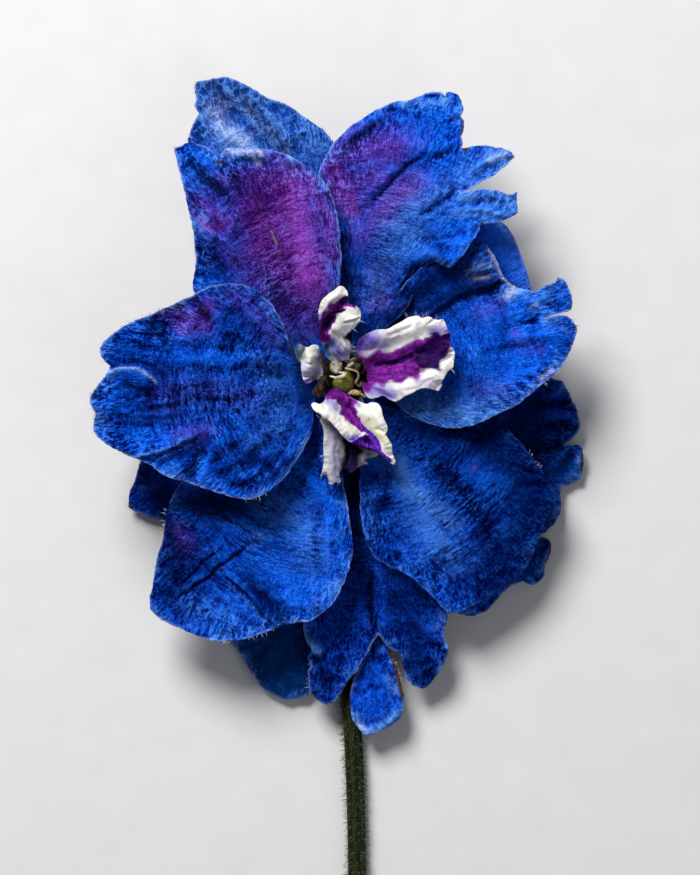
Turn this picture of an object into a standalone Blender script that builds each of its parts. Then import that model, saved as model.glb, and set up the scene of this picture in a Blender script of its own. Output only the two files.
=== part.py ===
"""One semi-double delphinium blossom, picked with its pedicel and lying face up on a table.

The bloom faces +Z and its pedicel runs along -Y on the table, z = 0. Every sepal and bee petal is
its own thin sheet, seated 0.3 mm off the receptacle that carries it. Lengths in the tables below are
in millimetres for a bloom 70 mm tall; BLOOM_HEIGHT scales them all.
"""

import math

import bmesh
import bpy
from mathutils import Vector

BLOOM_HEIGHT = 0.070  # top sepal's tip to bottom sepal's tip, in metres
UNIT = BLOOM_HEIGHT / 70  # one millimetre of the tables

SEPAL_THICKNESS = 0.4
BEE_THICKNESS = 0.35
BLADE_ROWS = 5
BEE_ROWS = 4

HEART = Vector((-0.3, 0.7, 0))  # the receptacle's axis stands here
RECEPTACLE_RADIUS = 2.6
RECEPTACLE_TOP = 8.0
SEAT_GAP = 0.3  # a seated piece stands this far off the receptacle
SEPAL_SEAT = RECEPTACLE_RADIUS + SEAT_GAP  # sepals meet the receptacle's side
BEE_SEAT = 2.45  # bee petals stand on the receptacle's crown
PEDICEL_RADIUS = 1.05

# Each blade: the direction in which its claw leaves the heart (degrees, 0 along +X), the claw's height
# and width, how far the blade's middle sags, and its edges as points (x, y, z): the left side out from
# the claw, the rim of the tip from left to right, and the right side out from the claw.
SEPALS = {
    "inner_sepal_left": (188, 7.8, 2.2, 0.5, [(-4.3, -3.6, 9.4), (-5.4, -7.4, 11.2)], [
        (-8.4, -11.4, 12.6), (-12.6, -11.9, 12.8), (-17.4, -10.2, 12.2), (-21.6, -7.8, 12.6),
        (-25.4, -6.2, 12.0), (-26.7, -4.2, 11.6), (-26.4, -2.9, 12.0), (-27.1, -1.4, 12.6),
        (-25.6, 1.0, 13.6), (-25.2, 2.2, 12.6), (-25.9, 3.2, 12.0), (-25.0, 5.1, 12.4),
        (-20.6, 7.5, 12.6), (-16.0, 9.6, 12.8), (-12.2, 10.6, 13.0),
    ], [(-5.6, 2.6, 10.0), (-7.2, 6.2, 12.0)]),
    "inner_sepal_upper_left": (124, 7.6, 2.2, 0.4, [(-5.0, 4.6, 8.8), (-10.0, 7.6, 9.8)], [
        (-15.4, 9.8, 10.6), (-16.2, 15.2, 11.2), (-17.0, 19.5, 11.2), (-18.4, 25.0, 10.6),
        (-16.6, 25.5, 11.0), (-13.6, 24.0, 11.8), (-10.4, 25.0, 11.7), (-5.8, 23.9, 12.2),
        (-2.3, 20.6, 12.9), (-0.8, 15.6, 13.0),
    ], [(-1.0, 6.2, 10.0), (-0.8, 10.0, 11.8)]),
    "inner_sepal_upper_right": (62, 7.4, 2.2, 0.4, [(0.4, 5.6, 8.2), (-0.8, 10.0, 9.2), (-2.6, 17.0, 10.2)], [
        (-3.3, 22.6, 10.8), (-1.4, 25.8, 11.0), (3.0, 29.1, 10.9), (9.2, 31.0, 10.5),
        (12.2, 29.4, 10.6), (12.6, 25.9, 11.1), (15.2, 25.4, 11.0), (17.6, 23.8, 10.7),
        (15.9, 21.2, 11.1), (17.9, 19.0, 10.8), (14.8, 16.2, 11.2), (10.9, 12.4, 11.4),
    ], [(4.0, 6.0, 8.8), (6.8, 9.4, 10.2)]),
    "inner_sepal_right": (2, 7.3, 2.2, 0.2, [(4.8, 3.8, 8.0), (8.4, 9.4, 8.8)], [
        (12.6, 14.6, 9.2), (15.0, 14.8, 9.2), (17.0, 11.2, 9.3), (19.6, 10.5, 9.4),
        (22.2, 11.2, 9.8), (23.6, 9.0, 9.6), (21.9, 7.6, 9.3), (23.4, 6.8, 9.6),
        (24.1, 5.2, 9.4), (22.8, 2.0, 9.4), (20.8, 0.6, 9.7), (17.4, -2.2, 9.5),
        (13.6, -4.0, 9.4), (9.8, -4.5, 9.2),
    ], [(4.2, -1.0, 8.0), (6.0, -2.8, 8.6)]),
    "inner_sepal_lower_right": (-52, 6.4, 2.2, -0.3, [(4.0, -2.2, 6.5), (8.6, -3.0, 6.9), (13.6, -2.8, 7.2)], [
        (17.8, -5.0, 7.3), (20.6, -9.2, 6.8), (22.0, -12.0, 6.0), (19.8, -17.0, 5.5),
        (16.6, -22.2, 5.5), (13.0, -24.1, 5.7), (9.6, -23.4, 6.3), (5.2, -21.0, 6.9),
        (2.2, -17.2, 7.4),
    ], [(1.9, -4.6, 6.7), (1.3, -8.0, 7.3), (1.2, -12.4, 7.6)]),
    "inner_sepal_lower_left": (238, 6.9, 2.2, 0.1, [(-0.9, -5.6, 7.4), (-0.3, -10.4, 8.4)], [
        (0.6, -17.0, 9.0), (-0.4, -21.4, 8.8), (-3.6, -24.9, 8.2), (-7.4, -25.9, 8.0),
        (-12.4, -27.1, 8.2), (-17.6, -26.2, 7.6), (-21.0, -23.8, 7.2), (-20.5, -19.4, 7.5),
        (-19.2, -13.8, 7.6), (-17.0, -9.4, 7.8),
    ], [(-4.0, -2.6, 7.1), (-5.6, -4.2, 7.6), (-10.8, -6.2, 7.9)]),
    "outer_sepal_top": (104, 5.9, 2.2, 0.3, [(-3.6, 5.4, 6.2), (-8.0, 12.0, 6.6), (-12.5, 18.5, 7.0)], [
        (-15.8, 23.0, 7.4), (-16.8, 26.6, 7.5), (-15.9, 29.0, 7.7), (-16.0, 32.0, 7.1),
        (-12.8, 32.6, 6.8), (-9.0, 31.0, 7.0), (-4.0, 28.3, 7.4), (-1.4, 25.4, 7.2),
        (0.2, 21.0, 6.8),
    ], [(0.5, 5.0, 6.0), (0.6, 8.0, 6.2), (0.8, 14.0, 6.4)]),
    "outer_sepal_upper_right": (42, 5.9, 2.2, 0.3, [(2.8, 4.8, 6.3), (6.0, 9.6, 6.8), (10.0, 14.4, 7.0)], [
        (13.8, 17.2, 7.0), (16.6, 17.1, 6.9), (18.4, 13.4, 6.8), (19.9, 8.6, 6.6),
    ], [(4.8, 2.2, 6.1), (9.0, 3.0, 6.4), (16.0, 5.4, 6.6)]),
    "outer_sepal_lower_right": (-22, 5.5, 2.2, -0.5, [(5.0, -0.2, 5.5), (10.0, 0.4, 5.5), (16.0, 1.0, 5.0)], [
        (22.4, 0.4, 3.6), (24.6, -3.6, 1.9), (23.3, -6.2, 1.9), (25.2, -7.8, 0.8),
        (24.8, -10.3, 0.5), (22.7, -11.6, 1.2), (22.2, -14.6, 1.2), (20.6, -16.2, 1.6),
        (21.5, -18.4, 0.8), (20.2, -21.2, 0.5), (17.2, -21.8, 1.9), (14.0, -24.5, 3.2),
        (11.2, -23.8, 4.2),
    ], [(4.0, -5.8, 5.2), (6.4, -11.5, 5.2), (9.0, -18.5, 4.9)]),
    "outer_sepal_bottom": (-92, 5.7, 1.8, -0.1, [(1.6, -5.2, 5.2), (4.4, -12.0, 5.2), (7.8, -18.0, 4.8)], [
        (10.2, -23.6, 4.0), (10.8, -28.4, 3.3), (8.6, -32.2, 3.0), (6.6, -31.8, 3.4),
        (5.0, -29.3, 3.9), (2.9, -26.8, 4.3), (1.4, -29.8, 4.0), (-0.6, -32.8, 3.5),
        (-2.8, -34.0, 3.2), (-4.1, -31.4, 3.3), (-4.8, -26.0, 4.2),
    ], [(-1.8, -5.2, 5.2), (-2.8, -12.0, 5.2), (-4.0, -20.0, 4.8)]),
    "outer_sepal_tail": (-62, 4.8, 1.0, 0.0, [
        (2.0, -5.0, 4.1), (2.8, -14.0, 3.5), (3.8, -24.0, 3.0), (5.0, -29.6, 2.9),
    ], [
        (6.1, -33.8, 2.9), (5.4, -35.9, 3.0), (3.6, -37.2, 3.0), (1.8, -37.3, 3.0),
        (0.6, -36.2, 3.0), (0.3, -34.6, 3.0),
    ], [(1.1, -5.0, 4.1), (1.4, -12.0, 3.5), (1.7, -20.0, 3.0), (1.4, -28.6, 2.9)]),
    "outer_sepal_bottom_left": (-122, 4.8, 1.4, 0.1, [(-1.9, -4.4, 4.2), (-2.2, -12.0, 3.6), (-2.4, -20.0, 2.8)], [
        (-2.6, -27.0, 2.0), (-3.6, -32.4, 1.4), (-6.2, -33.6, 1.1), (-9.4, -32.1, 0.9),
        (-11.8, -28.5, 0.8), (-13.6, -26.2, 1.0),
    ], [(-3.5, -4.6, 4.3), (-6.6, -10.0, 3.7), (-10.6, -17.0, 2.6)]),
    "outer_sepal_left": (206, 5.7, 2.0, 0.0, [(-3.6, -2.8, 5.3), (-8.0, -7.2, 4.6), (-13.0, -11.6, 3.0)], [
        (-17.0, -14.4, 1.8), (-20.6, -14.4, 1.0), (-23.5, -13.0, 0.5), (-22.6, -9.6, 1.2),
        (-19.6, -5.0, 2.8),
    ], [(-4.8, 0.2, 5.5), (-8.0, 0.2, 5.2), (-14.0, -1.4, 4.2)]),
}

BEES = {
    "bee_petal_right": (8, 8.45, 1.4, 0.8, [(2.2, 3.4, 10.6)], [
        (2.2, 4.9, 11.8), (4.8, 6.0, 12.2), (8.2, 7.1, 12.6), (10.3, 6.6, 12.8),
        (11.0, 3.6, 12.2), (10.2, 0.4, 12.4), (7.6, -0.7, 12.2), (4.8, -1.6, 11.8),
    ], [(3.0, -0.6, 10.8)]),
    "bee_petal_top": (92, 8.45, 1.2, 0.3, [(-1.8, 4.2, 10.8)], [
        (-3.0, 5.6, 12.4), (-2.7, 8.8, 13.8), (-0.8, 10.3, 13.8), (0.9, 8.2, 13.6),
        (1.3, 6.4, 13.2),
    ], [(0.2, 4.4, 11.2)]),
    "bee_petal_left": (176, 8.45, 1.2, 0.1, [(-3.4, 0.1, 9.8)], [
        (-4.3, 0.1, 10.6), (-5.2, 1.2, 11.0), (-5.4, 2.8, 11.4), (-4.8, 4.2, 11.4),
        (-3.8, 4.1, 11.0),
    ], [(-3.1, 2.8, 10.0)]),
    "bee_petal_bottom": (-100, 8.45, 1.2, 0.0, [(0.3, -2.4, 9.8), (1.6, -2.6, 11.2)], [
        (3.3, -2.6, 12.3), (4.2, -4.4, 12.3), (4.9, -8.1, 11.2), (1.8, -6.8, 11.6),
        (-1.0, -5.0, 12.4), (-3.6, -2.8, 12.2),
    ], [(-2.2, -1.9, 10.6)]),
    "bee_petal_lower": (-58, 8.45, 1.0, 0.0, [(2.2, -3.4, 8.9)], [
        (2.8, -5.6, 9.8), (2.6, -7.8, 10.2), (0.2, -9.3, 10.2), (-1.6, -10.4, 10.4),
        (-2.8, -8.6, 10.4), (-2.2, -5.4, 9.8),
    ], [(-0.6, -3.4, 8.8)]),
}

# Each carpel: where it stands on the receptacle (x, y), its radius, its height and how far its beak leans.
CARPELS = {
    "carpel_front": (-0.5, -0.1, 1.0, 3.0, (-0.05, -0.10)),
    "carpel_upper_right": (0.5, 1.8, 0.7, 3.3, (0.10, 0.06)),
    "carpel_upper_left": (-1.2, 1.75, 0.7, 3.3, (-0.08, 0.08)),
}
CARPEL_FOOT = RECEPTACLE_TOP + SEAT_GAP

# Each withered stamen: the points its filament runs through; the last stretch swells into the anther.
STAMENS = {
    "stamen_right_upper": [(1.4, 1.2, 8.35), (1.8, 1.9, 9.6), (1.6, 2.4, 10.6), (1.1, 2.7, 11.0)],
    "stamen_right_lower": [(1.5, 0.35, 8.3), (1.45, 0.1, 9.6), (1.5, 0.7, 10.6), (1.35, 1.25, 11.3)],
    "stamen_front_right": [(0.9, -0.7, 8.3), (1.2, -0.75, 9.2), (1.0, -0.9, 9.9), (0.5, -1.05, 10.3)],
    "stamen_left_front": [(-2.05, -0.55, 8.3), (-2.6, -0.7, 9.1), (-3.1, -1.0, 9.6), (-3.4, -1.6, 9.8)],
    "stamen_back_left": [(-2.25, 1.35, 8.3), (-2.45, 1.9, 9.6), (-2.5, 2.5, 10.6), (-2.4, 3.2, 10.9)],
    "stamen_top": [(-0.3, 2.6, 8.3), (-0.25, 2.75, 9.4), (-0.1, 2.75, 10.6), (0.1, 2.6, 11.6)],
}
FILAMENT_RADIUS = 0.14
ANTHER_RADIUS = 0.30

# The pedicel's centreline from its cut end along the table and up into the receptacle.
PEDICEL = [(0.95, -60.0, 1.05), (0.9, -48.0, 1.05), (0.55, -38.0, 1.05), (0.0, -31.0, 1.05),
           (-0.4, -20.0, 1.05), (-0.4, -10.0, 1.05), (-0.3, -4.6, 1.15), (-0.3, -1.4, 1.9),
           (-0.3, 0.4, 3.6), (-0.3, 0.7, 5.0)]
# Half the receptacle's outline, (radius, height) from its crown down its side to the pedicel.
RECEPTACLE = [(0.0, RECEPTACLE_TOP), (1.9, RECEPTACLE_TOP), (2.35, 7.8), (RECEPTACLE_RADIUS, 7.3),
              (RECEPTACLE_RADIUS, 4.6), (2.2, 4.1), (1.5, 3.7), (0.0, 3.7)]

# The spur of the top sepal: points and radii from its mouth at the claw to its closed tip on the table.
SPUR = [((-0.75, 4.3, 5.2), 1.25), ((-1.3, 6.4, 3.9), 1.3), ((-2.2, 9.6, 2.1), 1.15),
        ((-3.1, 13.0, 1.1), 0.9), ((-3.7, 16.0, 0.75), 0.75), ((-3.9, 17.6, 0.62), 0.6)]


def material(name, colour, roughness):
    """A plain opaque finish; colour is linear RGB."""
    made = bpy.data.materials.new(name)
    made.use_nodes = True
    shader = made.node_tree.nodes["Principled BSDF"]
    shader.inputs["Base Color"].default_value = (*colour, 1)
    shader.inputs["Roughness"].default_value = roughness
    shader.inputs["Metallic"].default_value = 0
    made.diffuse_color = (*colour, 1)
    return made


def place(name, data, finish, parent, collection):
    """A named object holding this data, standing where the blossom stands."""
    made = bpy.data.objects.new(name, data)
    made.parent = parent
    data.materials.append(finish)
    collection.objects.link(made)
    return made


def through(points, spans):
    """Points on a Catmull-Rom curve through these ones, this many to each span."""
    ends = [2 * points[0] - points[1], *points, 2 * points[-1] - points[-2]]
    curve = []
    for a, b, c, d in zip(ends, ends[1:], ends[2:], ends[3:]):
        for step in range(spans):
            s = step / spans
            curve.append(0.5 * (2 * b + (c - a) * s + (2 * a - 5 * b + 4 * c - d) * s * s
                                + (3 * b - a - 3 * c + d) * s ** 3))
    return [*curve, points[-1]]


def spaced(points, count):
    """This many points at even distances along the smooth curve through these ones."""
    curve = through([Vector(p) for p in points], 6)
    travelled = [0]
    for start, end in zip(curve, curve[1:]):
        travelled.append(travelled[-1] + (end - start).length)
    even, span = [], 0
    for i in range(count):
        distance = travelled[-1] * i / (count - 1)
        while span < len(curve) - 2 and travelled[span + 1] < distance:
            span += 1
        share = (distance - travelled[span]) / (travelled[span + 1] - travelled[span])
        even.append(curve[span].lerp(curve[span + 1], share))
    return even


def blade_mesh(name, seat, direction, height, width, sag, left, tip, right, rows, thickness):
    """A sepal or a petal: a sheet stretched between its claw, its two sides and the rim of its tip."""
    outward = Vector((math.cos(math.radians(direction)), math.sin(math.radians(direction)), 0))
    half_claw = Vector((outward.y, -outward.x, 0)) * width / 2
    claw = HEART + outward * seat + Vector((0, 0, height))
    rim = [Vector(p) for p in tip]
    left_side = spaced([claw - half_claw, *left, rim[0]], rows + 1)
    right_side = spaced([claw + half_claw, *right, rim[-1]], rows + 1)
    columns = len(rim) - 1
    bm = bmesh.new()
    bmesh.ops.create_grid(bm, x_segments=columns, y_segments=rows, size=0.5)
    for vertex in bm.verts:
        across, out = vertex.co.x + 0.5, vertex.co.y + 0.5
        column, row = round(across * columns), round(out * rows)
        between_sides = left_side[row].lerp(right_side[row], across)
        past_corners = rim[column] - rim[0].lerp(rim[-1], across)
        point = between_sides + past_corners * out ** 2
        point.z -= sag * math.sin(math.pi * across) * math.sin(math.pi * out)
        vertex.co = point * UNIT
    underside = bmesh.ops.extrude_face_region(bm, geom=bm.faces[:], use_keep_orig=True)["geom"]
    lowered = [item for item in underside if isinstance(item, bmesh.types.BMVert)]
    bmesh.ops.translate(bm, verts=lowered, vec=(0, 0, -thickness * UNIT))
    bmesh.ops.recalc_face_normals(bm, faces=bm.faces)
    mesh = bpy.data.meshes.new(name)
    bm.to_mesh(mesh)
    bm.free()
    return mesh


def tube(name, points, radii, sides_resolution):
    """A closed mesh tube through these points, with a radius at each."""
    line = bpy.data.curves.new(name, "CURVE")
    line.dimensions = "3D"
    line.bevel_depth = UNIT
    line.bevel_resolution = sides_resolution
    line.use_fill_caps = True
    spline = line.splines.new("POLY")
    spline.points.add(len(points) - 1)
    for point, place_on_line, radius in zip(spline.points, points, radii):
        point.co = (*(Vector(place_on_line) * UNIT), 1)
        point.radius = radius
    guide = bpy.data.objects.new(name, line)
    bpy.context.scene.collection.objects.link(guide)
    bpy.context.view_layer.update()
    evaluated = guide.evaluated_get(bpy.context.evaluated_depsgraph_get())
    mesh = bpy.data.meshes.new_from_object(evaluated)
    bpy.data.objects.remove(guide)
    bpy.data.curves.remove(line)
    bm = bmesh.new()
    bm.from_mesh(mesh)
    bmesh.ops.remove_doubles(bm, verts=bm.verts, dist=1e-6)
    bmesh.ops.recalc_face_normals(bm, faces=bm.faces)
    bm.to_mesh(mesh)
    bm.free()
    return mesh


def turned(name, outline, steps, finish, parent, collection, place_at):
    """A solid of revolution about the vertical; outline runs (radius, height) from the top down."""
    mesh = bpy.data.meshes.new(name)
    edges = [(i, i + 1) for i in range(len(outline) - 1)]
    mesh.from_pydata([(r * UNIT, 0, z * UNIT) for r, z in outline], edges, [])
    made = place(name, mesh, finish, parent, collection)
    made.location = Vector(place_at) * UNIT
    screw = made.modifiers.new("turn", "SCREW")
    screw.axis = "Z"
    screw.steps = screw.render_steps = steps
    screw.use_merge_vertices = True
    screw.merge_threshold = 1e-5
    return made


def join_with(obj, other):
    """Grows another mesh into this object as one solid."""
    other.hide_render = True
    other.display_type = "WIRE"
    union = obj.modifiers.new("grown together", "BOOLEAN")
    union.operation = "UNION"
    union.object = other


def pedicel(finish, blossom, pieces, helpers):
    """The flower's own stalk, swelling into the receptacle that carries everything else."""
    top = turned("pedicel", RECEPTACLE, 20, finish, blossom, pieces, HEART)
    line = through([Vector(p) for p in PEDICEL], 3)
    stalk = tube("pedicel_stalk", line, [PEDICEL_RADIUS] * len(line), 2)
    join_with(top, place("pedicel_stalk", stalk, finish, blossom, helpers))


def sepals(blossom, pieces, helpers):
    """The thirteen blue sepals; the top one carries the spur."""
    blue = material("sepal_blue", (0.010, 0.045, 0.50), 0.5)
    for name, shape in SEPALS.items():
        mesh = blade_mesh(name, SEPAL_SEAT, *shape, BLADE_ROWS, SEPAL_THICKNESS)
        place(name, mesh, blue, blossom, pieces)
    top = bpy.data.objects["outer_sepal_top"]
    line = through([Vector(p) for p, _ in SPUR], 3)
    radii = [v.x for v in through([Vector((r, 0, 0)) for _, r in SPUR], 3)]
    spur = tube("spur_tube", line, radii, 1)
    join_with(top, place("spur_tube", spur, blue, blossom, helpers))


def bee_petals(blossom, pieces):
    """The small white petals with a violet stripe that stand round the carpels."""
    white = material("bee_white", (0.80, 0.78, 0.80), 0.55)
    for name, shape in BEES.items():
        mesh = blade_mesh(name, BEE_SEAT, *shape, BEE_ROWS, BEE_THICKNESS)
        place(name, mesh, white, blossom, pieces)


def carpels(blossom, pieces):
    """The three green carpels, each an egg with a beak, leaning a little apart."""
    green = material("carpel_green", (0.16, 0.19, 0.03), 0.35)
    for name, (x, y, radius, height, lean) in CARPELS.items():
        outline = [(0, height), (0.16 * radius, 0.96 * height), (0.28 * radius, 0.80 * height),
                   (0.78 * radius, 0.62 * height), (radius, 0.36 * height), (0.86 * radius, 0.14 * height),
                   (0.5 * radius, 0), (0, 0)]
        carpel = turned(name, outline, 12, green, blossom, pieces, (x, y, CARPEL_FOOT))
        carpel.rotation_euler = Vector((0, 0, 1)).rotation_difference(Vector((*lean, 1))).to_euler()


def stamens(blossom, pieces):
    """The withered stamens, curled round the carpels, each a filament ending in an anther."""
    brown = material("stamen_brown", (0.13, 0.075, 0.03), 0.7)
    for name, points in STAMENS.items():
        line = through([Vector(p) for p in points], 3)
        swell = [0, 0, 0, 0, 0, 0, 0.5, 1, 1, 0.5]
        radii = [FILAMENT_RADIUS + (ANTHER_RADIUS - FILAMENT_RADIUS) * s for s in swell]
        place(name, tube(name, line, radii, 1), brown, blossom, pieces)


def set_down(blossom, pieces):
    """Moves the blossom so that it stands on z = 0 with the middle of its footprint on the origin."""
    bpy.context.view_layer.update()
    graph = bpy.context.evaluated_depsgraph_get()
    corners = []
    for obj in pieces.objects:
        shape = obj.evaluated_get(graph)
        corners += [shape.matrix_world @ vertex.co for vertex in shape.data.vertices]
    low = Vector([min(c[k] for c in corners) for k in range(3)])
    high = Vector([max(c[k] for c in corners) for k in range(3)])
    blossom.location -= Vector(((low.x + high.x) / 2, (low.y + high.y) / 2, low.z))


def main():
    for obj in list(bpy.data.objects):
        bpy.data.objects.remove(obj)
    pieces = bpy.data.collections.new("delphinium_blossom")
    helpers = bpy.data.collections.new("grown_into_others")
    for collection in (pieces, helpers):
        bpy.context.scene.collection.children.link(collection)
    blossom = bpy.data.objects.new("blossom", None)
    bpy.context.scene.collection.objects.link(blossom)

    green = material("stalk_green", (0.05, 0.09, 0.02), 0.6)
    pedicel(green, blossom, pieces, helpers)
    sepals(blossom, pieces, helpers)
    bee_petals(blossom, pieces)
    carpels(blossom, pieces)
    stamens(blossom, pieces)
    set_down(blossom, pieces)


main()
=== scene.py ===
"""A semi-double delphinium blossom on its hairy pedicel, lying face up.

Tables are in millimetres in the blossom's own frame: +X right and +Y up as one looks down on it.
"""

import math

import bpy
import numpy as np
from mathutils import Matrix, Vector
from mathutils.bvhtree import BVHTree
from mathutils.geometry import delaunay_2d_cdt
from mathutils.kdtree import KDTree


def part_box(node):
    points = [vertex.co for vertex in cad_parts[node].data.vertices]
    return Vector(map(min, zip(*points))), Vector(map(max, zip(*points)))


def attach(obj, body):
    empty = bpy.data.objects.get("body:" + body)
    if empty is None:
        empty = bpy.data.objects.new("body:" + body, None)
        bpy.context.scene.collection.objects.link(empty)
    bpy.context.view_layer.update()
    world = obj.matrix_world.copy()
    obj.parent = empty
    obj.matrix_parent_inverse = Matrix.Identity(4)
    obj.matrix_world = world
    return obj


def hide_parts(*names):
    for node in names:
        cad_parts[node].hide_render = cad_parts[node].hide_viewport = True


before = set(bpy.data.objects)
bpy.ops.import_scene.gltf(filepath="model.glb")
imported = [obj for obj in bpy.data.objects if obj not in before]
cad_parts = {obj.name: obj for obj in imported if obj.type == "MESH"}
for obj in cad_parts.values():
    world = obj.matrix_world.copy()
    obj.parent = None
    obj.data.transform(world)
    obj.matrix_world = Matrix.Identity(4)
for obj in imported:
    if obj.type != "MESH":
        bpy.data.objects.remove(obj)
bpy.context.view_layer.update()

# ---------------------------------------------------------------------------------------------
# The pedicel: the blossom's own stalk, a ribbed green stem some 2 mm thick that bends up into the
# receptacle, the swollen end that carries everything else. It grew in one piece and is downy all
# over with short white hairs that point out and a little back towards the cut end.

MM = 0.001
RECEPTACLE_RADIUS = 2.6
HEART = np.array([-0.3, 0.7, 0.0])  # the receptacle's axis in the tables
STALK_RADIUS = 1.03
STALK_RIBS = 7
RIB_DEPTH = 0.035
SKIN_BUMPS = 0.03
STALK_STEP = 0.35
STALK_SIDES = 42
STALK_LINE = [(0.95, -60.0, 1.05), (0.9, -48.0, 1.05), (0.55, -38.0, 1.05), (0.0, -31.0, 1.05),
              (-0.4, -20.0, 1.05), (-0.4, -10.0, 1.05), (-0.3, -4.6, 1.15), (-0.3, -1.4, 1.9),
              (-0.3, 0.4, 3.6), (-0.3, 0.7, 5.0)]
# Half the receptacle's outline, (radius, height), from its foot up over the crown.
RECEPTACLE = [(0.02, 3.72), (1.2, 3.76), (1.75, 3.95), (2.2, 4.25), (2.5, 4.75), (2.58, 5.6), (2.52, 6.4),
              (2.56, 7.1), (2.42, 7.6), (2.05, 7.9), (1.4, 7.86), (0.7, 7.94), (0.02, 7.98)]
RECEPTACLE_RIBS = 13
RECEPTACLE_SIDES = 64
STALK_HAIRS = 2200
STALK_HAIR_RADIUS = 0.030
STALK_HAIR_LENGTHS = (0.55, 0.95)
HAIR_ROOT = 0.05  # how deep a hair sits in the skin
PITH_SHRINKAGE = 0.12  # how far the pith has drawn back into the cut end
HAIRLESS_END = 5.5  # the length of the line inside the receptacle
FLOOR_CLEARANCE = 0.03  # hairs lie down on the floor and never reach through it

pedicel_low, pedicel_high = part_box("pedicel")
RECEPTACLE_AXIS = ((pedicel_low.x + pedicel_high.x) / 2 / MM, pedicel_high.y / MM - RECEPTACLE_RADIUS, 0.0)
ORIGIN = np.array(RECEPTACLE_AXIS) - HEART  # where the tables' own origin lies in the frame


class Wire:
    """A number on its way through a finish's nodes; arithmetic on it adds Math nodes."""

    def __init__(self, finish, socket):
        self.finish, self.socket = finish, socket

    def maths(self, operation, *others):
        """This number and the others through one Math node."""
        return self.finish.node("ShaderNodeMath", {"operation": operation}, dict(enumerate((self, *others))))

    def __add__(self, other):
        return self.maths("ADD", other)

    def __sub__(self, other):
        return self.maths("SUBTRACT", other)

    def __rsub__(self, other):
        return self.maths("MULTIPLY_ADD", -1.0, other)

    def __mul__(self, other):
        return self.maths("MULTIPLY", other)

    __radd__ = __add__
    __rmul__ = __mul__


class Finish:
    """One material, with the shader's sockets set by name. Its masks are marks laid on the mesh, and its
    grain follows the mesh's growth."""

    def __init__(self, name, **surface):
        self.material = bpy.data.materials.new(name)
        self.material.use_nodes = True
        self.tree = self.material.node_tree
        self.shader = self.tree.nodes["Principled BSDF"]
        for socket, value in surface.items():
            self.shader.inputs[socket.replace("_", " ")].default_value = value

    def node(self, kind, settings=None, sockets=None, output=0):
        """A node of this kind: its settings first, then its sockets' values or links."""
        made = self.tree.nodes.new(kind)
        for key, value in (settings or {}).items():
            setattr(made, key, value)
        for key, value in (sockets or {}).items():
            if isinstance(value, Wire):
                self.tree.links.new(value.socket, made.inputs[key])
            else:
                made.inputs[key].default_value = value
        return Wire(self, made.outputs[output])

    def mark(self, name, output="Fac"):
        """A value that the mesh carries under this name."""
        return self.node("ShaderNodeAttribute", {"attribute_name": name}, output=output)

    def mixed(self, share, first, second):
        """The second colour over the first, by this share."""
        colours = [c if isinstance(c, Wire) else (*c, 1) for c in (first, second)]
        return self.node("ShaderNodeMix", {"data_type": "RGBA"}, {0: share, 6: colours[0], 7: colours[1]}, 2)

    def grain(self, stretch, detail=2.0, roughness=0.55, distortion=0.0, coordinates="growth"):
        """Noise over the growth coordinates, which are in millimetres, with this many blots to each."""
        place = self.mark(coordinates, "Vector")
        stretched = self.node("ShaderNodeVectorMath", {"operation": "MULTIPLY"}, {0: place, 1: stretch})
        return self.node("ShaderNodeTexNoise", {}, {"Vector": stretched, "Scale": 1.0, "Detail": detail,
                                                    "Roughness": roughness, "Distortion": distortion})

    def ridges(self, stretch, distortion):
        """Thin winding crests: 1 where the grain crosses its middle value, and 0 away from there."""
        level = self.grain(stretch, detail=1.5, distortion=distortion)
        return self.between((level - 0.5).maths("ABSOLUTE"), 0.13, 0.0)

    def between(self, value, low, high):
        """0 where the value is low or less, 1 where it is high or more, and smooth in between."""
        return self.node("ShaderNodeMapRange", {"interpolation_type": "SMOOTHSTEP"},
                         {"Value": value, "From Min": low, "From Max": high})

    def shows(self, colour, roughness=None, height=None, relief=0.0):
        """Joins colour, roughness and a relief of this many millimetres to the surface."""
        self.tree.links.new(colour.socket, self.shader.inputs["Base Color"])
        if roughness is not None:
            self.tree.links.new(roughness.socket, self.shader.inputs["Roughness"])
        if height is not None:
            bump = self.node("ShaderNodeBump", {}, {"Height": height, "Distance": relief * MM})
            self.tree.links.new(bump.socket, self.shader.inputs["Normal"])


def smooth_line(points, step):
    """Points about this far apart on the smooth curve through these ones."""
    points = np.asarray(points, float)
    ends = np.vstack([2 * points[0] - points[1], points, 2 * points[-1] - points[-2]])
    s = np.linspace(0, 1, 12, endpoint=False)[:, None]
    spans = [0.5 * (2 * b + (c - a) * s + (2 * a - 5 * b + 4 * c - d) * s * s
                    + (3 * b - a - 3 * c + d) * s ** 3)
             for a, b, c, d in zip(ends, ends[1:], ends[2:], ends[3:])]
    curve = np.vstack([*spans, points[-1:]])
    travelled = np.concatenate([[0], np.cumsum(np.linalg.norm(np.diff(curve, axis=0), axis=1))])
    even = np.linspace(0, travelled[-1], max(2, round(travelled[-1] / step) + 1))
    return np.stack([np.interp(even, travelled, column) for column in curve.T], axis=1)


def ramp(value, low, high):
    """0 below low, 1 above high, smooth in between."""
    share = np.clip((value - low) / (high - low), 0, 1)
    return share * share * (3 - 2 * share)


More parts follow.
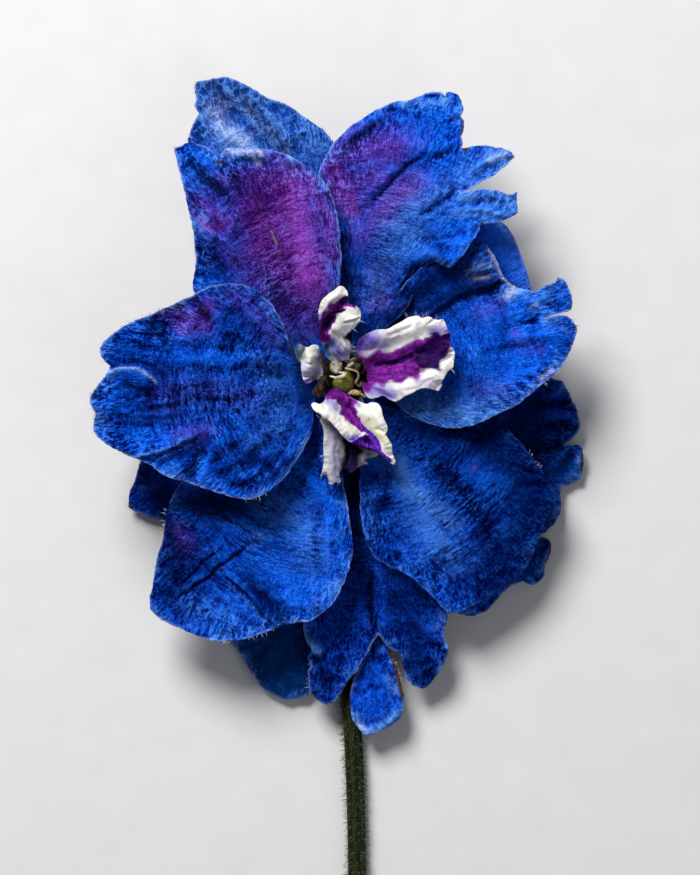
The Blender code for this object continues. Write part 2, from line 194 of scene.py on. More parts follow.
def rumple(x, y, seed):
    """Smooth noise between about -1 and 1, with one swell to each unit of x and of y."""
    cell_x, cell_y = np.floor(x).astype(np.int64), np.floor(y).astype(np.int64)
    part_x, part_y = x - cell_x, y - cell_y

    def pull(step_x, step_y):
        mixed = (cell_x + step_x) * 73856093 ^ (cell_y + step_y) * 19349663 ^ (seed * 83492791)
        mixed = (mixed ^ (mixed >> 13)) * 1274126177 & 0xFFFFFF
        turn = mixed * (2 * math.pi / 0x1000000)
        return np.cos(turn) * (part_x - step_x) + np.sin(turn) * (part_y - step_y)

    blend_x = part_x ** 3 * (part_x * (part_x * 6 - 15) + 10)
    blend_y = part_y ** 3 * (part_y * (part_y * 6 - 15) + 10)
    near = pull(0, 0) * (1 - blend_x) + pull(1, 0) * blend_x
    far = pull(0, 1) * (1 - blend_x) + pull(1, 1) * blend_x
    return 1.5 * (near * (1 - blend_y) + far * blend_y)


def tube_skin(rings):
    """Triangles over rings of points (rings, sides), with a fan over each end; the fan centres come last."""
    count, sides = rings.shape[:2]
    index = np.arange(count * sides).reshape(count, sides)
    a, b = index[:-1], index[1:]
    walls = np.stack([a, np.roll(a, -1, 1), b, b, np.roll(a, -1, 1), np.roll(b, -1, 1)], axis=-1)
    foot, tip = count * sides, count * sides + 1
    first = np.stack([np.full(sides, foot), np.roll(index[0], -1), index[0]], axis=1)
    last = np.stack([np.full(sides, tip), index[-1], np.roll(index[-1], -1)], axis=1)
    points = np.vstack([rings.reshape(-1, 3), rings[0].mean(0), rings[-1].mean(0)])
    return points, np.vstack([walls.reshape(-1, 3), first, last])


def hair_coat(roots, ways, lengths, radius, droop):
    """Tapering three-sided hairs, closed at the root, that droop by this share of their length."""
    side = np.cross(ways, [0.31, 0.17, 0.94])
    side /= np.linalg.norm(side, axis=1)[:, None]
    other = np.cross(ways, side)
    rings = []
    for share, width in ((0.0, 1.0), (0.5, 0.75)):
        middle = roots + ways * (lengths * share)[:, None]
        middle[:, 2] -= droop * lengths * share ** 2
        for turn in (0, 2 * math.pi / 3, 4 * math.pi / 3):
            rings.append(middle + radius * width * (math.cos(turn) * side + math.sin(turn) * other))
    tips = roots + ways * lengths[:, None]
    tips[:, 2] -= droop * lengths
    points = np.stack([*rings, tips], axis=1)
    points[:, :, 2] = np.maximum(points[:, :, 2], FLOOR_CLEARANCE)
    cells = np.array([(0, 2, 1), (0, 1, 3), (1, 4, 3), (1, 2, 4), (2, 5, 4), (2, 0, 5), (0, 3, 5),
                      (3, 4, 6), (4, 5, 6), (5, 3, 6)])
    starts = np.arange(len(roots))[:, None, None] * 7
    return points.reshape(-1, 3), (cells[None] + starts).reshape(-1, 3)


def gathered(*parts):
    """Several (points, triangles, marks) as one; a mark that a part lacks is 0 there."""
    names = {name for _, _, marks in parts for name in marks}
    points = np.vstack([p for p, _, _ in parts])
    starts = np.cumsum([0] + [len(p) for p, _, _ in parts[:-1]])
    triangles = np.vstack([t + start for (_, t, _), start in zip(parts, starts)])
    marks = {}
    for name in sorted(names):
        blank = next(m[name] for _, _, m in parts if name in m)
        marks[name] = np.concatenate([m.get(name, np.zeros((len(p), *blank.shape[1:]))) for p, _, m in parts])
    return points, triangles, marks


def dress(node, suffix, shape, finish):
    """Makes the shape a piece that rides with the blossom and stands for this CAD node."""
    points, triangles, marks = shape
    name = f"{node}_{suffix}"
    mesh = bpy.data.meshes.new(name)
    mesh.from_pydata((points + ORIGIN) * MM, [], triangles.tolist())
    for mark, values in marks.items():
        kind, field = ("FLOAT", "value") if values.ndim == 1 else ("FLOAT_VECTOR", "vector")
        mesh.attributes.new(mark, kind, "POINT").data.foreach_set(field, values.astype(np.float32).ravel())
    mesh.shade_smooth()
    mesh.materials.append(finish.material)
    piece = bpy.data.objects.new(name, mesh)
    bpy.context.scene.collection.objects.link(piece)
    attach(piece, "root")
    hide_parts(node)
    return piece


def stalk_rings(line, radius_at):
    """Rings of points round a line, and their outward directions; radius_at(distance, turn) in mm."""
    ahead = np.gradient(line, axis=0)
    ahead /= np.linalg.norm(ahead, axis=1)[:, None]
    side = np.array([1.0, 0, 0]) - ahead * ahead[:, :1]
    side /= np.linalg.norm(side, axis=1)[:, None]
    over = np.cross(ahead, side)
    turns = np.linspace(0, 2 * math.pi, STALK_SIDES, endpoint=False)
    outward = np.cos(turns)[None, :, None] * side[:, None] + np.sin(turns)[None, :, None] * over[:, None]
    distance = np.concatenate([[0], np.cumsum(np.linalg.norm(np.diff(line, axis=0), axis=1))])
    radius = radius_at(distance[:, None], turns[None, :])
    return line[:, None] + outward * radius[..., None], outward, ahead, distance, turns


def stalk_radius(distance, turn):
    """Low ribs that wind slowly round the stem, and a skin that is a little uneven."""
    ribs = RIB_DEPTH * np.cos(STALK_RIBS * turn + 0.05 * distance) - RIB_DEPTH
    rough = SKIN_BUMPS * rumple(distance / 0.9, turn * 3.0, 5) - SKIN_BUMPS
    return STALK_RADIUS + ribs + rough


def pedicel_shape():
    """The stem with its cut end, the receptacle on it and the coat of hairs."""
    chance = np.random.default_rng(11)
    line = smooth_line(STALK_LINE, STALK_STEP)
    rings, outward, ahead, distance, turns = stalk_rings(line, stalk_radius)
    stalk, stalk_faces = tube_skin(rings)
    stalk[-2, 1] += PITH_SHRINKAGE
    growth = np.zeros((len(stalk), 3))
    growth[:-2, 0] = np.repeat(distance, len(turns))
    growth[:-2, 1] = np.tile(turns * STALK_RADIUS, len(distance))
    rib = np.append(np.tile(0.5 + 0.5 * np.cos(STALK_RIBS * turns), len(distance)), [0.5, 0.5])
    cut = np.zeros(len(stalk))
    cut[-2] = 1

    profile = smooth_line([(r, 0, z) for r, z in RECEPTACLE], 0.16)
    round_turns = np.linspace(0, 2 * math.pi, RECEPTACLE_SIDES, endpoint=False)
    ribs = 0.03 * (0.5 + 0.5 * np.cos(RECEPTACLE_RIBS * round_turns))[None, :]
    spread = profile[:, :1] * (1 - ribs * ramp(profile[:, 2], 4.2, 5.5)[:, None])
    cup = np.stack([HEART[0] + spread * np.cos(round_turns), HEART[1] + spread * np.sin(round_turns),
                    np.repeat(profile[:, 2:], RECEPTACLE_SIDES, 1)], axis=-1)
    crown = ramp(profile[:, 2], 7.0, 7.8)[:, None]
    cup[..., 2] += 0.05 * rumple(cup[..., 0] * 2.2, cup[..., 1] * 2.2, 8) * crown
    cup, cup_faces = tube_skin(cup)

    along = chance.uniform(0.3, distance[-1] - HAIRLESS_END, STALK_HAIRS)
    turn = chance.uniform(0, 2 * math.pi, STALK_HAIRS)
    ring = np.minimum(np.searchsorted(distance, along), len(distance) - 1)
    facet = (turn / (2 * math.pi) * STALK_SIDES).astype(int)
    roots = rings[ring, facet] - outward[ring, facet] * HAIR_ROOT
    ways = outward[ring, facet] - ahead[ring] * chance.uniform(0.1, 0.6, (STALK_HAIRS, 1))
    ways += chance.normal(0, 0.22, (STALK_HAIRS, 3))
    ways[:, 2] = np.maximum(ways[:, 2], (0.15 - roots[:, 2]) / 0.9)  # the lowest turn up from the floor
    ways /= np.linalg.norm(ways, axis=1)[:, None]
    lengths = chance.uniform(*STALK_HAIR_LENGTHS, STALK_HAIRS)
    hair, hair_faces = hair_coat(roots, ways, lengths, STALK_HAIR_RADIUS, droop=0.12)
    return gathered(
        (stalk, stalk_faces, {"growth": growth, "rib": rib, "cut": cut}),
        (cup, cup_faces, {"growth": cup, "rib": np.full(len(cup), 0.3), "crown": ramp(cup[:, 2], 6.6, 7.8)}),
        (hair, hair_faces, {"hair": np.ones(len(hair))}))


green_skin = Finish("pedicel_green", Roughness=0.55, Specular_IOR_Level=0.08)
mottle = green_skin.grain((0.9, 1.4, 0.9), detail=4)
streak = green_skin.grain((0.35, 6.0, 1.0), detail=2)
skin = green_skin.mixed(green_skin.between(mottle, 0.35, 0.7), (0.002, 0.004, 0.001), (0.010, 0.018, 0.004))
skin = green_skin.mixed(green_skin.mark("rib") * streak, skin, (0.030, 0.042, 0.012))
skin = green_skin.mixed(green_skin.mark("cut"), skin, (0.30, 0.36, 0.16))
# The crown under the carpels is painted nearly black, as the shade in the hollow under the carpels and
# petals.
skin = green_skin.mixed(0.9 * green_skin.mark("crown"), skin, (0.005, 0.005, 0.003))
skin = green_skin.mixed(green_skin.mark("hair"), skin, (0.10, 0.115, 0.075))
green_skin.shows(skin, 0.45 + 0.25 * mottle, streak + 0.6 * mottle, 0.06)
dress("pedicel", "stalk", pedicel_shape(), green_skin)

# ---------------------------------------------------------------------------------------------
# The outer sepals: seven of the blossom's blue petal-like sepals, set round the receptacle under the
# six inner ones. Each is one thin crinkled sheet on a narrow claw; the top one carries the nectar
# spur, a closed tube that bends down behind the bloom.

RIM_THICKNESS = 0.12
# How a sepal's sheet is made, in millimetres: how far its claw sits from the receptacle's axis, the
# spacing of its points, its thickness, how far the plain solid's facets melt, where the claw ends and
# the blade begins, the blade's slow swell, the size of its creases and how ragged its rim is.
OUTER_SHEET = dict(seat=2.9, spacing=0.2, thickness=0.26, melt=1.5, neck=(4.0, 7.0), swell=0.55, crease=1.0,
                   ragged=0.09)

# Each sepal: its claw (direction in degrees, width) and its outline out from the claw's left corner
# and round to its right one, as smooth strokes that meet in corners. The other strokes lie on it:
# pleats, which are ridges or valleys (height, half width), laps, which lift what lies on their left
# (lift, fade), and strokes under the name of each colour, painted shade or painted light (strength, half
# width). Hairs grow on the rim in tufts (middle, radius, number), and the crinkle is the height of the crepe.
OUTER_SEPALS = {
    "outer_sepal_top": dict(
        claw=(104, 2.2), crinkle=0.32,
        outline=[
            [(-3.6, 5.4), (-8.0, 12.0), (-12.5, 18.5), (-15.9, 23.0), (-16.9, 25.7), (-16.75, 26.6),
             (-16.4, 27.7), (-15.75, 28.8)],
            [(-16.25, 29.6), (-16.1, 30.4), (-16.25, 31.6), (-15.95, 32.15)],
            [(-15.0, 32.3), (-14.2, 32.5), (-12.8, 32.6), (-11.6, 32.2), (-10.2, 31.5), (-8.6, 30.5),
             (-7.4, 30.1), (-6.2, 29.6), (-4.4, 28.3), (-3.0, 27.3), (-2.1, 26.5), (-1.3, 25.4)],
            [(0.2, 21.0), (0.8, 14.0), (0.6, 8.0), (0.5, 5.0)],
        ],
        pleats=[(-0.45, 0.5, [(-14.2, 31.9), (-12.4, 29.6), (-10.4, 27.2), (-8.6, 25.0)]),
                (0.35, 0.6, [(-13.2, 31.6), (-11.4, 29.4), (-9.2, 26.8)]),
                (-0.4, 0.4, [(-12.2, 31.4), (-10.3, 29.2), (-8.4, 27.0), (-6.4, 24.4)]),
                (-0.35, 0.5, [(-8.2, 29.6), (-6.6, 27.6), (-4.8, 24.8)]),
                (0.3, 0.5, [(-9.4, 29.9), (-7.6, 27.8), (-5.8, 25.2)]),
                (-0.3, 0.35, [(-15.2, 31.2), (-13.8, 29.4), (-12.6, 27.4)]),
                (0.4, 1.2, [(-14.2, 27.0), (-11.6, 25.8), (-9.6, 24.8)])],
        pale=[(1.2, 2.8, [(-15.2, 30.6), (-13.4, 27.6), (-10.4, 25.6)]),
              (1.0, 3.6, [(-13.6, 31.0), (-8.8, 28.6), (-4.6, 26.6)]),
              (0.7, 0.7, [(-9.0, 30.4), (-6.4, 29.0), (-4.0, 27.6)]),
              (0.5, 1.0, [(-6.4, 26.8), (-5.0, 24.8)])],
        white=[(0.4, 0.9, [(-14.2, 29.2), (-13.2, 27.2), (-11.0, 25.8)])],
        grey=[(0.6, 0.9, [(-11.4, 30.4), (-9.2, 27.8), (-6.6, 25.0)]),
              (0.5, 0.9, [(-14.6, 31.8), (-12.4, 29.6)])],
        scar=[(0.7, 0.15, [(-10.7, 29.6), (-10.0, 28.9)]), (0.9, 0.35, [(-16.1, 31.9)]),
              (0.9, 0.25, [(-16.2, 31.0)]), (0.9, 0.3, [(-16.85, 26.0)]), (0.7, 0.25, [(-2.0, 26.3)])],
        hairs=[((-16.2, 31.6), 0.8, 8), ((-2.2, 26.8), 1.0, 6), ((-16.9, 25.9), 0.8, 6)],
    ),
    "outer_sepal_upper_right": dict(
        claw=(42, 2.2), crinkle=0.10,
        outline=[
            [(2.8, 4.8), (6.0, 9.6), (10.0, 14.4), (13.8, 17.0), (15.2, 17.5), (16.4, 17.2), (17.4, 16.0),
             (18.0, 14.7), (18.5, 13.4), (19.0, 11.8), (19.5, 10.1), (19.7, 8.3), (18.4, 6.4), (16.0, 5.4),
             (9.0, 3.0), (4.8, 2.2)],
        ],
        pleats=[(0.35, 1.0, [(12.0, 12.0), (16.6, 15.4)]), (-0.25, 0.6, [(13.0, 10.6), (18.2, 12.2)])],
        scar=[(0.7, 0.2, [(17.5, 16.1)])],
        pale=[(0.15, 1.0, [(16.6, 16.2), (17.6, 13.4), (18.6, 11.0)])],
        lush=[(2.0, 3.0, [(16.2, 15.0), (17.0, 12.0)])],
        deep=[(0.9, 0.7, [(12.4, 15.0), (14.2, 12.0)])],
    ),
    "outer_sepal_lower_right": dict(
        claw=(-22, 2.2), crinkle=0.26,
        outline=[
            [(5.0, -0.2), (10.0, 0.4), (16.0, 1.0), (20.6, 1.1), (22.3, 0.6), (22.9, 0.4), (23.4, -0.4),
             (23.9, -1.4), (24.4, -2.4), (24.7, -3.7), (24.6, -4.9), (23.9, -5.7), (23.1, -6.3)],
            [(23.9, -6.35), (24.6, -6.3), (25.1, -6.8), (25.2, -7.9), (25.1, -9.1), (24.8, -10.0),
             (23.9, -10.55), (22.9, -10.7)],
            [(22.7, -11.8), (22.8, -13.1), (22.3, -14.4), (21.3, -15.5), (20.4, -16.1)],
            [(21.2, -16.3), (21.75, -16.9), (21.6, -18.1), (21.1, -19.4), (20.9, -20.4), (20.2, -21.2),
             (19.4, -21.3), (18.7, -20.9)],
            [(17.5, -21.4), (16.4, -22.3), (15.6, -23.2), (14.6, -24.1), (13.1, -24.6), (11.7, -24.3)],
            [(10.6, -23.0), (9.0, -18.5), (6.4, -11.5), (4.0, -5.8)],
        ],
        pleats=[(0.5, 0.45, [(24.5, -3.4), (22.4, -3.0), (19.6, -3.0)]),
                (-0.4, 0.4, [(24.4, -2.4), (22.2, -2.0), (19.4, -1.8)]),
                (-0.45, 0.4, [(24.5, -4.5), (22.2, -4.2), (19.8, -4.4)]),
                (0.4, 0.4, [(23.6, -0.9), (21.4, -0.7)]),
                (-0.6, 0.5, [(23.1, -6.4), (21.4, -6.6), (19.8, -7.2)]),
                (0.55, 0.4, [(24.9, -7.6), (24.0, -9.4), (22.9, -10.3)]),
                (-0.4, 0.5, [(24.0, -7.4), (23.0, -8.6)]),
                (0.4, 0.45, [(22.6, -12.6), (21.2, -13.6), (19.4, -14.2)]),
                (-0.4, 0.5, [(20.4, -16.2), (18.6, -16.4)]), (0.5, 0.35, [(21.3, -17.6), (20.6, -20.0)]),
                (0.35, 0.35, [(17.0, -21.3), (13.2, -23.6)])],
        pale=[(0.45, 0.5, [(24.6, -6.9), (25.0, -9.0), (24.0, -10.2)])],
        scar=[(0.8, 0.2, [(25.0, -7.2), (25.1, -9.4)]), (0.8, 0.22, [(21.7, -17.4), (21.0, -19.9)]),
              (0.6, 0.15, [(17.6, -21.4), (15.9, -22.9)]), (0.7, 0.2, [(23.6, -0.9)])],
        teal=[(0.5, 1.6, [(23.4, -8.4)]), (0.5, 1.4, [(19.6, -19.6)])],
        deep=[(1.0, 5.0, [(19.0, -4.0), (19.4, -14.0)])],
        hairs=[((23.9, -1.2), 1.2, 12), ((25.0, -8.4), 1.6, 12), ((21.4, -18.6), 1.4, 8)],
    ),
    "outer_sepal_bottom": dict(
        claw=(-92, 1.8), crinkle=0.24,
        outline=[
            [(1.6, -5.2), (4.4, -12.0), (7.8, -18.0), (10.0, -22.4), (10.6, -24.6), (10.3, -25.9),
             (10.2, -26.7)],
            [(10.4, -27.2), (10.7, -27.9), (10.6, -28.8), (10.0, -30.0), (9.15, -31.3), (8.3, -32.3),
             (7.3, -32.1), (6.4, -31.5), (6.0, -30.4), (5.7, -29.1), (5.2, -28.4), (4.15, -27.7),
             (3.2, -26.5)],
            [(2.5, -27.6), (1.9, -28.8), (0.9, -30.4), (0.1, -31.4), (-0.9, -33.0), (-1.5, -33.7),
             (-2.45, -34.0), (-3.4, -33.4), (-4.1, -32.6), (-4.2, -31.6), (-4.3, -30.4)],
            [(-3.95, -29.8), (-4.3, -29.0), (-3.9, -28.2), (-4.2, -27.6), (-4.6, -26.7), (-4.8, -25.9)],
            [(-4.6, -23.0), (-4.0, -20.0), (-2.8, -12.0), (-1.8, -5.2)],
        ],
        pleats=[(-0.5, 0.3, [(3.1, -26.6), (2.8, -25.4), (2.4, -23.4), (2.4, -19.6)]),
                (0.35, 0.5, [(1.9, -26.0), (1.2, -22.0)]), (0.35, 0.5, [(4.2, -26.2), (3.7, -22.0)]),
                (0.3, 0.45, [(10.0, -27.6), (8.2, -26.0), (6.6, -24.6)]),
                (-0.35, 0.4, [(10.4, -28.5), (8.6, -27.4), (6.8, -26.4)]),
                (0.3, 0.4, [(10.0, -29.4), (8.2, -28.6), (6.8, -28.2)]),
                (-0.3, 0.4, [(9.4, -30.4), (8.0, -29.8)]),
                (-0.3, 0.45, [(-4.2, -29.6), (-2.2, -28.6), (-0.4, -27.2)]),
                (0.4, 0.5, [(-4.4, -27.0), (-2.6, -28.6)]),
                (-0.25, 0.45, [(-2.6, -33.0), (-1.2, -30.0), (0.2, -27.4)])],
        pale=[(0.8, 0.4, [(-4.5, -26.6), (-3.9, -27.9), (-3.2, -28.6)])],
        deep=[(0.8, 2.2, [(-2.6, -31.8)]), (0.8, 2.8, [(6.2, -24.0), (8.0, -29.8)]),
              (0.9, 1.6, [(2.0, -22.0), (1.0, -14.0), (0.6, -8.0)])],
        scar=[(0.8, 0.2, [(-4.1, -29.7)])],
        white=[(0.8, 0.2, [(-4.2, -29.9)])],
        hairs=[((-4.2, -31.0), 1.4, 8)],
    ),
    "outer_sepal_tail": dict(
        claw=(-62, 1.0), crinkle=0.14,
        outline=[
            [(2.0, -5.0), (2.8, -14.0), (3.8, -24.0), (4.5, -28.4), (5.2, -30.2), (5.7, -31.9), (5.9, -33.4),
             (5.9, -34.8), (5.4, -35.6), (4.4, -36.4)],
            [(2.9, -37.1), (1.85, -37.3), (1.0, -36.5), (0.4, -35.2), (0.2, -33.2), (0.5, -31.5),
             (1.2, -30.0), (1.7, -28.4), (1.7, -20.0), (1.4, -12.0), (1.1, -5.0)],
        ],
        pleats=[(-0.3, 0.2, [(2.7, -26.0), (2.65, -29.6), (2.6, -33.6)]),
                (-0.25, 0.18, [(3.5, -28.0), (3.7, -31.4)]), (-0.25, 0.18, [(1.9, -28.8), (1.5, -31.6)]),
                (-0.25, 0.2, [(0.7, -33.5), (2.1, -32.5), (4.3, -32.1)]),
                (0.35, 0.35, [(5.5, -33.0), (5.2, -35.0), (3.6, -36.4)]),
                (0.3, 0.4, [(0.7, -35.2), (1.7, -36.7), (3.2, -36.6)])],
        scar=[(0.95, 0.35, [(4.5, -28.3), (5.3, -30.4), (5.8, -33.0)]), (0.8, 0.16, [(3.9, -36.0)]),
              (0.7, 0.16, [(3.3, -35.8)])],
        pale=[(0.85, 0.5, [(0.7, -35.4), (1.8, -36.8), (3.6, -36.4), (5.0, -35.2)]),
              (0.6, 0.5, [(4.4, -31.0), (5.0, -32.6)]), (0.5, 0.4, [(0.5, -31.8)])],
        lush=[(0.9, 2.2, [(2.8, -31.0), (3.0, -35.0)])],
        white=[(0.6, 0.3, [(1.1, -36.2), (1.9, -37.0)])],
        hairs=[((5.2, -30.0), 1.6, 14)],
    ),
    "outer_sepal_bottom_left": dict(
        claw=(-122, 1.4), crinkle=0.10,
        outline=[
            [(-1.9, -4.4), (-2.2, -12.0), (-2.4, -20.0), (-2.6, -27.0), (-3.2, -31.0), (-4.1, -32.8),
             (-5.2, -33.4), (-6.4, -33.6), (-7.6, -33.3), (-8.8, -32.6), (-10.0, -31.2), (-10.9, -29.8),
             (-12.0, -28.1), (-13.3, -26.6), (-12.9, -23.0), (-10.6, -17.0), (-6.6, -10.0), (-3.5, -4.6)],
        ],
        pleats=[(-0.3, 0.4, [(-10.4, -30.0), (-8.2, -27.0), (-6.6, -23.0)]),
                (0.3, 0.3, [(-4.6, -32.2), (-6.2, -30.6), (-6.6, -28.6)]),
                (0.25, 0.6, [(-9.2, -31.0), (-7.0, -27.4)])],
        teal=[(1.0, 9.0, [(-7.6, -29.0)])],
        pale=[(0.5, 0.25, [(-4.3, -32.4), (-6.2, -33.2)])],
    ),
    "outer_sepal_left": dict(
        claw=(206, 2.0), crinkle=0.12,
        outline=[
            [(-3.6, -2.8), (-8.0, -7.2), (-13.0, -11.6), (-17.0, -14.2), (-19.9, -14.3), (-21.3, -14.0),
             (-22.7, -13.5), (-23.5, -13.0)],
            [(-23.5, -12.2), (-23.3, -11.2), (-22.8, -10.0), (-22.0, -7.6), (-19.6, -5.0), (-14.0, -1.4),
             (-8.0, 0.2), (-4.8, 0.2)],
        ],
        pleats=[(0.25, 0.7, [(-22.6, -11.6), (-18.0, -10.0)])],
        deep=[(1.0, 3.0, [(-21.6, -9.4), (-19.5, -12.6)])],
        scar=[(0.9, 0.22, [(-23.5, -12.6), (-23.2, -13.2)]), (0.6, 0.16, [(-21.6, -14.0)])],
        hairs=[((-23.4, -12.8), 1.0, 12)],
    ),
}
# The spur of the top sepal: points and radii from its mouth at the claw to its closed tip.
SPUR = [(-0.75, 4.3, 5.2), (-1.3, 6.4, 3.9), (-2.2, 9.6, 2.1), (-3.1, 13.0, 1.15), (-3.7, 16.0, 0.8),
        (-3.9, 17.5, 0.66)]
SPUR_RADII = [1.2, 1.27, 1.12, 0.87, 0.7, 0.5]
RIM_HAIR_RADIUS = 0.022
RIM_WIDTH = 0.13  # the thin edge, painted pale as a highlight
HEM_WIDTH = 0.9  # the band inside it, painted paler on its crests as a highlight
SHEET_CLEARANCE = 0.02  # no under face comes nearer to the floor than this
VEINS_MEET = 2.5  # the veins fan out from a point this far behind the claw
FAN_RADIUS = 11.0  # a radian of that fan counts as this many millimetres of growth


def closed_outline(strokes, left_corner, right_corner, step, ragged, seed):
    """The sheet's outline as a loop of points: the strokes joined in corners, and the claw's edge."""
    strokes = [[tuple(left_corner), *strokes[0]], *strokes[1:]]
    strokes[-1] = [*strokes[-1], tuple(right_corner)]
    loop, start = [], None
    for stroke in strokes:
        curve = smooth_line(stroke if start is None else [start, *stroke], step)
        loop.append(curve[:-1])
        start = stroke[-1]
    rim = np.vstack(loop)
    place = np.arange(len(rim)) * step
    ahead = np.gradient(rim, axis=0)
    nick = rumple(place / 1.3, place * 0, seed) + 0.7 * rumple(place / 0.5, place * 0, seed + 1)
    nick *= ragged * ramp(np.minimum(place, place[::-1]), 1.5, 4.0) / np.linalg.norm(ahead, axis=1)
    rim += np.column_stack([ahead[:, 1], -ahead[:, 0]]) * nick[:, None]
    claw_points = max(3, round(np.hypot(*(right_corner - left_corner)) / step))
    return np.vstack([rim, np.linspace(right_corner, left_corner, claw_points)[:-1]])


def lattice_inside(loop, spacing):
    """Points of a triangular lattice inside the loop."""
    low, high = loop.min(0), loop.max(0)
    rows = np.arange(low[1], high[1], spacing * math.sqrt(3) / 2)
    columns = np.arange(low[0], high[0] + spacing, spacing)
    x = (columns[None] + (np.arange(len(rows)) % 2)[:, None] * spacing / 2).ravel()
    y = np.repeat(rows, len(columns))
    within = np.zeros(len(x), bool)
    for (ax, ay), (bx, by) in zip(loop, np.roll(loop, -1, 0)):
        if ay != by:
            crosses = (ay > y) != (by > y)
            within ^= crosses & (x < (bx - ax) * (y - ay) / (by - ay) + ax)
    return np.stack([x, y], axis=1)[within]


def from_loop(points, loop):
    """Each point's distance from the loop, and how far along the loop its nearest point lies."""
    tree = KDTree(len(loop))
    for index, (x, y) in enumerate(loop):
        tree.insert((x, y, 0), index)
    tree.balance()
    found = np.array([tree.find((x, y, 0))[1:] for x, y in points])
    travelled = np.concatenate([[0], np.cumsum(np.linalg.norm(np.diff(loop, axis=0), axis=1))])
    return found[:, 1], travelled[found[:, 0].astype(int)]


def from_stroke(points, stroke):
    """Distance from a stroke, which side of it (left is positive), and the share of the way along."""
    if len(stroke) == 1:
        distance = np.linalg.norm(points - np.array(stroke[0]), axis=1)
        return distance, distance, np.full(len(points), 0.5)
    line = smooth_line(stroke, 0.25)
    start, run = line[:-1], np.diff(line, axis=0)
    away = points[:, None] - start[None]
    share = np.clip((away * run).sum(-1) / (run ** 2).sum(-1), 0, 1)
    gap = away - run * share[..., None]
    square = (gap ** 2).sum(-1)
    nearest = square.argmin(1)
    row = np.arange(len(points))
    turn = run[nearest, 0] * away[row, nearest, 1] - run[nearest, 1] * away[row, nearest, 0]
    along = (nearest + share[row, nearest]) / len(run)
    distance = np.sqrt(square[row, nearest])
    return distance, distance * np.where(turn < 0, -1, 1), along


def pleat_height(points, height, width, stroke):
    """A ridge or a valley along the stroke, running out at both ends."""
    distance, _, along = from_stroke(points, stroke)
    taper = np.minimum(ramp(along, -0.15, 0.25), ramp(1 - along, -0.15, 0.25))
    return height * taper * np.exp(-(distance / width) ** 2)


def lap_height(points, lift, fade, stroke):
    """A step up on the left of the stroke, over a hollow in its shade on the right."""
    _, side, along = from_stroke(points, stroke)
    taper = np.minimum(ramp(along, 0.0, 0.2), ramp(1 - along, 0.0, 0.2))
    raised = np.exp(-(np.maximum(side, 0) / fade) ** 2) * ramp(side, -0.07, 0.07)
    hollow = 0.35 * np.exp(-(np.minimum(side, 0) / (0.5 * fade)) ** 2) * (1 - ramp(side, -0.07, 0.07))
    return lift * taper * (raised - hollow)


def joined_edges(triangles):
    """Every edge of the triangles once in each direction, as (from, to)."""
    pairs = np.vstack([triangles[:, [0, 1]], triangles[:, [1, 2]], triangles[:, [2, 0]]])
    return np.unique(np.vstack([pairs, pairs[:, ::-1]]), axis=0).T


def eased(heights, edges, rounds):
    """Heights spread out among neighbours, which melts the facets of the plain solid."""
    start, end = edges
    count = np.bincount(start, minlength=len(heights))
    for _ in range(rounds):
        heights = 0.5 * heights + 0.5 * np.bincount(start, heights[end], len(heights)) / count
    return heights


def lying_on(node, points):
    """The height of the CAD node's upper face under each point, or of its nearest edge."""
    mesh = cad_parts[node].data
    solid = BVHTree.FromPolygons([v.co / MM for v in mesh.vertices], [p.vertices for p in mesh.polygons])
    heights = []
    for x, y in points + ORIGIN[:2]:
        place = solid.ray_cast(Vector((x, y, 50)), Vector((0, 0, -1)))[0]
        heights.append((place or solid.find_nearest(Vector((x, y, 10)))[0]).z)
    return np.array(heights)


def crepe(outward, across, tipward, seed):
    """The crinkle of a petal: short crests across its veins, turning into pleats along them at the tip."""
    warp = 0.4 * rumple(outward / 1.5, across / 1.5, seed)
    warp += 0.2 * rumple(outward / 0.6, across / 0.6, seed + 1)
    ripples = 1 - 2.6 * np.abs(rumple(outward / 0.45 + warp, across / 1.3 + warp, seed + 2))
    squiggle = 1 - 2.6 * np.abs(rumple(outward / 0.46 - warp, across / 0.6 + 2 * warp, seed + 3))
    waves = rumple(outward / 1.5 + warp, across / 3.0, seed + 7)
    pleats = 1 - 2.4 * np.abs(rumple(outward / 3.2 + warp, across / 0.5 + 1.5 * warp, seed + 4))
    patchy = 0.8 + 0.6 * rumple(outward / 3.6, across / 3.0, seed + 6)
    body = 0.55 * ripples + 0.35 * squiggle
    return patchy * (body * (1 - tipward) + (0.6 * pleats + 0.3 * squiggle) * tipward) + 0.6 * waves


def flat_sheet(loop, spacing):
    """The sheet before it is shaped: its points in plan and its triangles."""
    filling = lattice_inside(loop, spacing)
    filling = filling[from_loop(filling, loop)[0] > 0.65 * spacing]
    corners = [Vector(p) for p in np.vstack([loop, filling])]
    ends = [(i, (i + 1) % len(loop)) for i in range(len(loop))]
    flat, _, triangles, _, _, _ = delaunay_2d_cdt(corners, ends, [], 1, 1e-5)
    return np.array([tuple(p) for p in flat]), np.array(triangles)


def two_faced(flat, triangles, height, thin):
    """The sheet's closed skin: an upper face, an under face this far below it, and the rim's wall."""
    count = len(flat)
    forward = np.vstack([triangles[:, [0, 1]], triangles[:, [1, 2]], triangles[:, [2, 0]]])
    once = {tuple(pair) for pair in forward.tolist()}
    border = np.array([(a, b) for a, b in forward.tolist() if (b, a) not in once])
    walls = np.vstack([np.column_stack([border[:, 1], border[:, 0], border[:, 0] + count]),
                       np.column_stack([border[:, 1], border[:, 0] + count, border[:, 1] + count])])
    points = np.vstack([np.column_stack([flat, height]), np.column_stack([flat, height - thin])])
    return points, np.vstack([triangles, triangles[:, ::-1] + count, walls])


